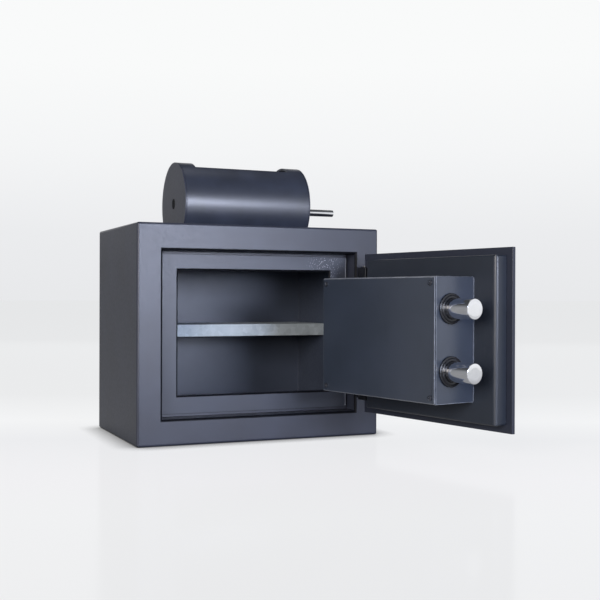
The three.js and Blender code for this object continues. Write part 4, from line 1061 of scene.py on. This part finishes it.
@dataclass
class KnobAndKey(DoorAssembly):
    """Lobed knob on its spindle, and the key lock beside it.

    Attributes:
        bore_mm: Radius of the knob's bore.
        bore_rest_mm: How far the bore ends below the knob's front.
        neck_mm: Radius of the knob's neck, which stays round.
        reach_mm: Radius of the knob at its lobes.
        neck_rim: Steps of the neck and its fillet, over the knob's foot.
        skirt_rim: Steps of the grip's back, over the knob's foot.
        crown_rim: Steps of the grip's front, from the knob's front.
        dish_rim: Steps of the cap's seat, from the neck and the knob's front.
        lobes: Number of lobes.
        lobe_depth: Depth of the hollows, as a share of the radius.
    """

    bore_mm: float = 6.3
    bore_rest_mm: float = 2.0
    neck_mm: float = 13.0
    reach_mm: float = 29.0
    neck_rim: Profile = ((-0.6, 0), (0, 0.6), (0, 8.6), (1, 9.9))
    skirt_rim: Profile = ((-4.5, 10.2), (-2.2, 10.9), (-0.7, 12.4), (0, 14.5))
    crown_rim: Profile = ((0, -6), (-0.6, -3.4), (-2, -1.5), (-4.2, -0.35), (-7, 0))
    dish_rim: Profile = ((-0.5, 0), (-1.2, -0.5), (-1.6, -1.2), (-3.6, -1.2), (-4, -1.6))
    lobes: int = 3
    lobe_depth: float = 0.13

    def build(self) -> None:
        """Make the knob, and dress its spindle, bush, cap and rose and the key lock."""
        f = self.finishes
        self.knob()
        self.dress(f.nylon, Edge.SHEET, "spindle_bush")
        self.dress(f.steel, Edge.SHEET, "handle_spindle", "cover_rivet")
        self.dress(f.chrome, Edge.SHEET, "knob_cap")
        self.dress(f.chrome, Edge.PLATE, "handle_rose", "keyhole_escutcheon", "keyhole_cover")
        self.dress(f.brass, Edge.SHEET, "key_plug")

    def knob(self) -> None:
        """Make the lobed grip of the knob."""
        low, high = self.corners("handle_knob", self.shut)
        spindle_low, spindle_high = self.corners("handle_spindle", self.shut)
        centre = (spindle_low + spindle_high) / 2
        neck, reach, front = self.neck_mm, self.reach_mm, high.y - low.y
        round_up_to = neck + self.neck_rim[-1][0]

        def lobed(radius: float, turn: float) -> float:
            """Hollow the grip between its lobes; the neck stays round.

            Args:
                radius: Radius of the profile, in millimetres.
                turn: Angle round the axis, in radians.

            Returns:
                The radius at that angle, in millimetres.
            """
            if radius <= round_up_to:
                return radius
            hollow = (1 - math.cos(self.lobes * (turn + math.pi / 2))) / 2
            return radius * (1 - self.lobe_depth * hollow)

        work = MeshWork()
        work.turned(self.stand((centre.x, high.y, centre.z), (0, -1, 0)), [
            (self.bore_mm, front - self.bore_rest_mm), (self.bore_mm, 0), *set_on(self.neck_rim, neck, 0),
            *set_on(self.skirt_rim, reach, 0), *set_on(self.crown_rim, reach, front),
            *set_on(self.dish_rim, neck, front),
        ], 3 * self.steps // 2, lobed)
        piece = work.make("knob_grip", self.finishes.grip, sharp_deg=40)
        self.fit(piece, "handle", Slot.PLASTIC, "handle_knob")


@dataclass(frozen=True)
class Lamp:
    """A soft box that looks at a point.

    Attributes:
        name: Name of the lamp.
        place: Where it hangs, in metres.
        target: What it looks at, in metres.
        width: Width of the box, in metres.
        height: Height of the box, in metres.
        watts: Its power.
        tint: Its colour, sRGB hex.
    """

    name: str
    place: Point
    target: Point
    width: float
    height: float
    watts: float
    tint: str = "#ffffff"

    def hang(self) -> None:
        """Put the lamp in the scene."""
        data = bpy.data.lights.new(self.name, "AREA")
        data.shape = "RECTANGLE"
        data.size, data.size_y = self.width, self.height
        data.energy = self.watts
        data.color = linear(self.tint)[:3]
        lamp = bpy.data.objects.new(self.name, data)
        place = Vector(self.place)
        look = (Vector(self.target) - place).to_track_quat("-Z", "Y")
        lamp.matrix_world = Matrix.Translation(place) @ look.to_matrix().to_4x4()
        bpy.context.scene.collection.objects.link(lamp)


@dataclass
class Studio:
    """Pale floor, white surroundings, soft boxes and the camera of the picture.

    Angles are in radians and lengths in metres, where they don't say otherwise.

    Attributes:
        frame_px: Width of the picture.
        focal_px: Focal length.
        yaw: Turn of the camera from the Y axis to the right.
        pitch: Turn of the camera upward.
        roll: Turn of the camera round its own axis.
        eye: Where the camera stands.
        sensor_mm: Width of the camera's sensor.
        clip: Nearest and farthest distance that the camera sees.
        bright_side: Direction of the surroundings' bright side.
        dim_share: Share of their light that mirrors see on the other side.
        bright_share: Share of it that they see on the bright side.
        even_share: Share of it for matt surfaces, from every side.
        sky: What the camera sees of the surroundings, by height.
        cast: Their light by height, dimmer overhead so that tops stay dark.
        floor_reach: Half the floor's side.
        floor_drop: How far the floor lies below the safe.
        floor_tone: Tone of the floor as seen, from near to far.
        tone_span: Where it starts and ends, along the camera's view.
        floor_coat: Colour of the floor in the lamps' light, sRGB hex.
        floor_gloss: Share of the floor that is a mirror.
        floor_blur: Roughness of that mirror.
        contact_reach: How far from the safe the painted shadow darkens the floor's glow.
        contact_power: How fast the painted shadow deepens towards the safe.
        mirror_from: Between these distances to the bright side mirrors see the floor get lighter.
        mirror_to: Shares of the floor's tone that they see there.
        lamps: The soft boxes.
    """

    frame_px: float = 600.0
    focal_px: float = 1009.732
    yaw: float = 0.4102517
    pitch: float = -0.0037678
    roll: float = 0.0032174
    eye: Point = (-0.51875, -1.43853, 0.20348)
    sensor_mm: float = 36.0
    clip: tuple[float, float] = (0.05, 60.0)
    bright_side: Point = (0.35, -0.94, 0.0)
    dim_share: float = 0.34
    bright_share: float = 0.95
    even_share: float = 0.8
    sky: Stops = ((0.0, "#e8e9eb"), (0.06, "#ebecee"), (0.14, "#f4f5f6"), (0.22, "#f9fafa"),
                  (1.0, "#f9fafa"))
    cast: Stops = ((0.0, "#f2f3f6"), (0.25, "#dcdee2"), (0.5, "#77797d"), (1.0, "#4c4d50"))
    floor_reach: float = 40.0
    floor_drop: float = 0.0002
    floor_tone: Stops = ((0.0, "#e8e9ea"), (0.07, "#dedfe0"), (0.2, "#e3e4e5"), (0.3, "#e5e5e7"),
                         (0.45, "#e4e5e7"), (0.56, "#eeeff0"), (0.78, "#e6e7e8"))
    tone_span: tuple[float, float] = (-1.0, 1.0)
    floor_coat: str = "#6c6c6c"
    floor_gloss: float = 0.05
    floor_blur: float = 0.12
    contact_reach: float = 0.035
    contact_power: float = 1.4
    mirror_from: tuple[float, float] = (0.5, 1.4)
    mirror_to: tuple[float, float] = (0.32, 0.85)
    lamps: tuple[Lamp, ...] = (
        Lamp("front_box", (0.45, -2.6, 0.5), (-0.1, 0.0, 0.25), 0.75, 0.6, 43.0, "#dfe7ff"),
        Lamp("left_box", (-1.8, -2.1, 0.8), (0.1, 0.0, 0.15), 1.3, 1.0, 61.0, "#fff6ee"),
        Lamp("right_box", (2.2, -1.6, 0.45), (0.2, -0.3, 0.15), 2.4, 2.0, 4.0),
        Lamp("top_box", (0.0, 0.2, 2.6), (0.0, 0.0, 0.2), 1.2, 1.2, 4.0),
        Lamp("back_box", (1.05, 2.4, 1.2), (0.0, 0.1, 0.2), 4.0, 1.6, 12.0),
    )

    def build(self) -> None:
        """Set the view, the world, the floor, the lamps and the camera."""
        bpy.context.scene.view_settings.view_transform = "Standard"
        self.surroundings()
        self.floor()
        for lamp in self.lamps:
            lamp.hang()
        self.camera()

    def surroundings(self) -> None:
        """Make a pale world that mirrors see brighter on one side."""
        world = bpy.data.worlds.new("white_studio")
        bpy.context.scene.world = world
        sheet = NodeSheet(world)
        ray = sheet.add("LightPath").outputs
        view = sheet.add("TexCoord").outputs["Generated"]
        height = sheet.add("SeparateXYZ", {0: view}).outputs["Z"]
        sky, cast = (sheet.add("ValToRGB", {0: height}, stops=stops) for stops in (self.sky, self.cast))
        toward = sheet.add("VectorMath", {0: view, 1: self.bright_side}, operation="DOT_PRODUCT")
        share = sheet.add("MapRange", {"Value": toward.outputs["Value"], "From Min": -1.0, "From Max": 1.0,
                                       "To Min": self.dim_share, "To Max": self.bright_share})
        seen, mirrored, even = (
            sheet.add("Background", {"Color": colour, "Strength": strength})
            for colour, strength in ((sky, 1.0), (cast, share), (cast, self.even_share)))
        other = sheet.add("MixShader", {0: ray["Is Diffuse Ray"], 1: mirrored, 2: even})
        mixed = sheet.add("MixShader", {0: ray["Is Camera Ray"], 1: other, 2: seen})
        sheet.add("OutputWorld", {"Surface": mixed})

    def floor_finish(self) -> Material:
        """Make the pale satin floor that keeps a soft shadow, partly cast by the lamps and partly painted
        by darkening its glow near the safe, and a faint mirror image.

        Returns:
            The material, with its node tree.
        """
        material = bpy.data.materials.new("pale_satin_floor")
        sheet = NodeSheet(material)
        ray = sheet.add("LightPath").outputs
        place = sheet.add("TexCoord").outputs["Object"]
        ahead, toward = (
            sheet.add("VectorMath", {0: place, 1: way}, operation="DOT_PRODUCT").outputs["Value"]
            for way in ((math.sin(self.yaw), math.cos(self.yaw), 0), self.bright_side))
        share = sheet.add("MapRange", {
            "Value": ahead, "From Min": self.tone_span[0], "From Max": self.tone_span[1]})
        tone = sheet.add("ValToRGB", {0: share}, stops=self.floor_tone)
        # Painted shadow: ambient occlusion darkens the floor's glow near the safe.
        near = sheet.add("AmbientOcclusion", {"Distance": self.contact_reach}, samples=8).outputs["AO"]
        painted_contact_shadow = sheet.add("Math", {0: near, 1: self.contact_power}, operation="POWER")
        fade = sheet.add("MapRange", {
            "Value": toward, "From Min": self.mirror_from[0], "From Max": self.mirror_from[1],
            "To Min": self.mirror_to[0], "To Max": self.mirror_to[1]})
        mirrored = sheet.add("MapRange", {"Value": ray["Is Glossy Ray"], "To Min": 1.0, "To Max": fade})
        strength = sheet.add("Math", {0: painted_contact_shadow, 1: mirrored}, operation="MULTIPLY")
        glow = sheet.add("Emission", {"Color": tone, "Strength": strength})
        none = sheet.add("Emission", {"Strength": 0.0})
        direct = sheet.add("Math", {0: ray["Is Camera Ray"], 1: ray["Is Glossy Ray"]}, operation="MAXIMUM")
        seen = sheet.add("Math", {0: direct, 1: ray["Is Transmission Ray"]}, operation="MAXIMUM")
        shown = sheet.add("MixShader", {0: seen, 1: none, 2: glow})
        lit = sheet.add("BsdfDiffuse", {"Color": linear(self.floor_coat)})
        matt = sheet.add("AddShader", {0: lit, 1: shown})
        gloss = sheet.add("BsdfGlossy", {"Color": linear("#ffffff"), "Roughness": self.floor_blur})
        both = sheet.add("MixShader", {0: self.floor_gloss, 1: matt, 2: gloss})
        sheet.add("OutputMaterial", {"Surface": both})
        return material

    def floor(self) -> None:
        """Lay the floor."""
        mesh = bmesh.new()
        reach = self.floor_reach
        mesh.faces.new([mesh.verts.new((x, y, -self.floor_drop)) for x, y in (
            (-reach, -reach), (reach, -reach), (reach, reach), (-reach, reach))])
        data = bpy.data.meshes.new("studio_floor")
        mesh.to_mesh(data)
        mesh.free()
        data.materials.append(self.floor_finish())
        plane = bpy.data.objects.new("studio_floor", data)
        bpy.context.scene.collection.objects.link(plane)

    def camera(self) -> None:
        """Stand the camera where the picture was taken from."""
        data = bpy.data.cameras.new("picture_camera")
        data.sensor_width = self.sensor_mm
        data.lens = self.focal_px / self.frame_px * self.sensor_mm
        data.clip_start, data.clip_end = self.clip
        level = math.cos(self.pitch)
        ahead = Vector((math.sin(self.yaw) * level, math.cos(self.yaw) * level, math.sin(self.pitch)))
        side = Vector((math.cos(self.yaw), -math.sin(self.yaw), 0))
        up = side.cross(ahead)
        right = side * math.cos(self.roll) + up * math.sin(self.roll)
        above = up * math.cos(self.roll) - side * math.sin(self.roll)
        turn = Matrix((right, above, -ahead)).transposed().to_4x4()
        camera = bpy.data.objects.new("picture_camera", data)
        camera.matrix_world = Matrix.Translation(Vector(self.eye)) @ turn
        bpy.context.scene.collection.objects.link(camera)
        bpy.context.scene.camera = camera


def main() -> None:
    """Build the safe's looks and the studio round it."""
    logging.basicConfig(level=logging.INFO, format="%(name)s: %(message)s")
    Studio().build()
    finishes = Finishes()
    for assembly in (Body, Hopper, Door, BoltWork, KnobAndKey):
        assembly(finishes).build()
    bpy.context.view_layer.update()


if __name__ == "__main__":
    main()
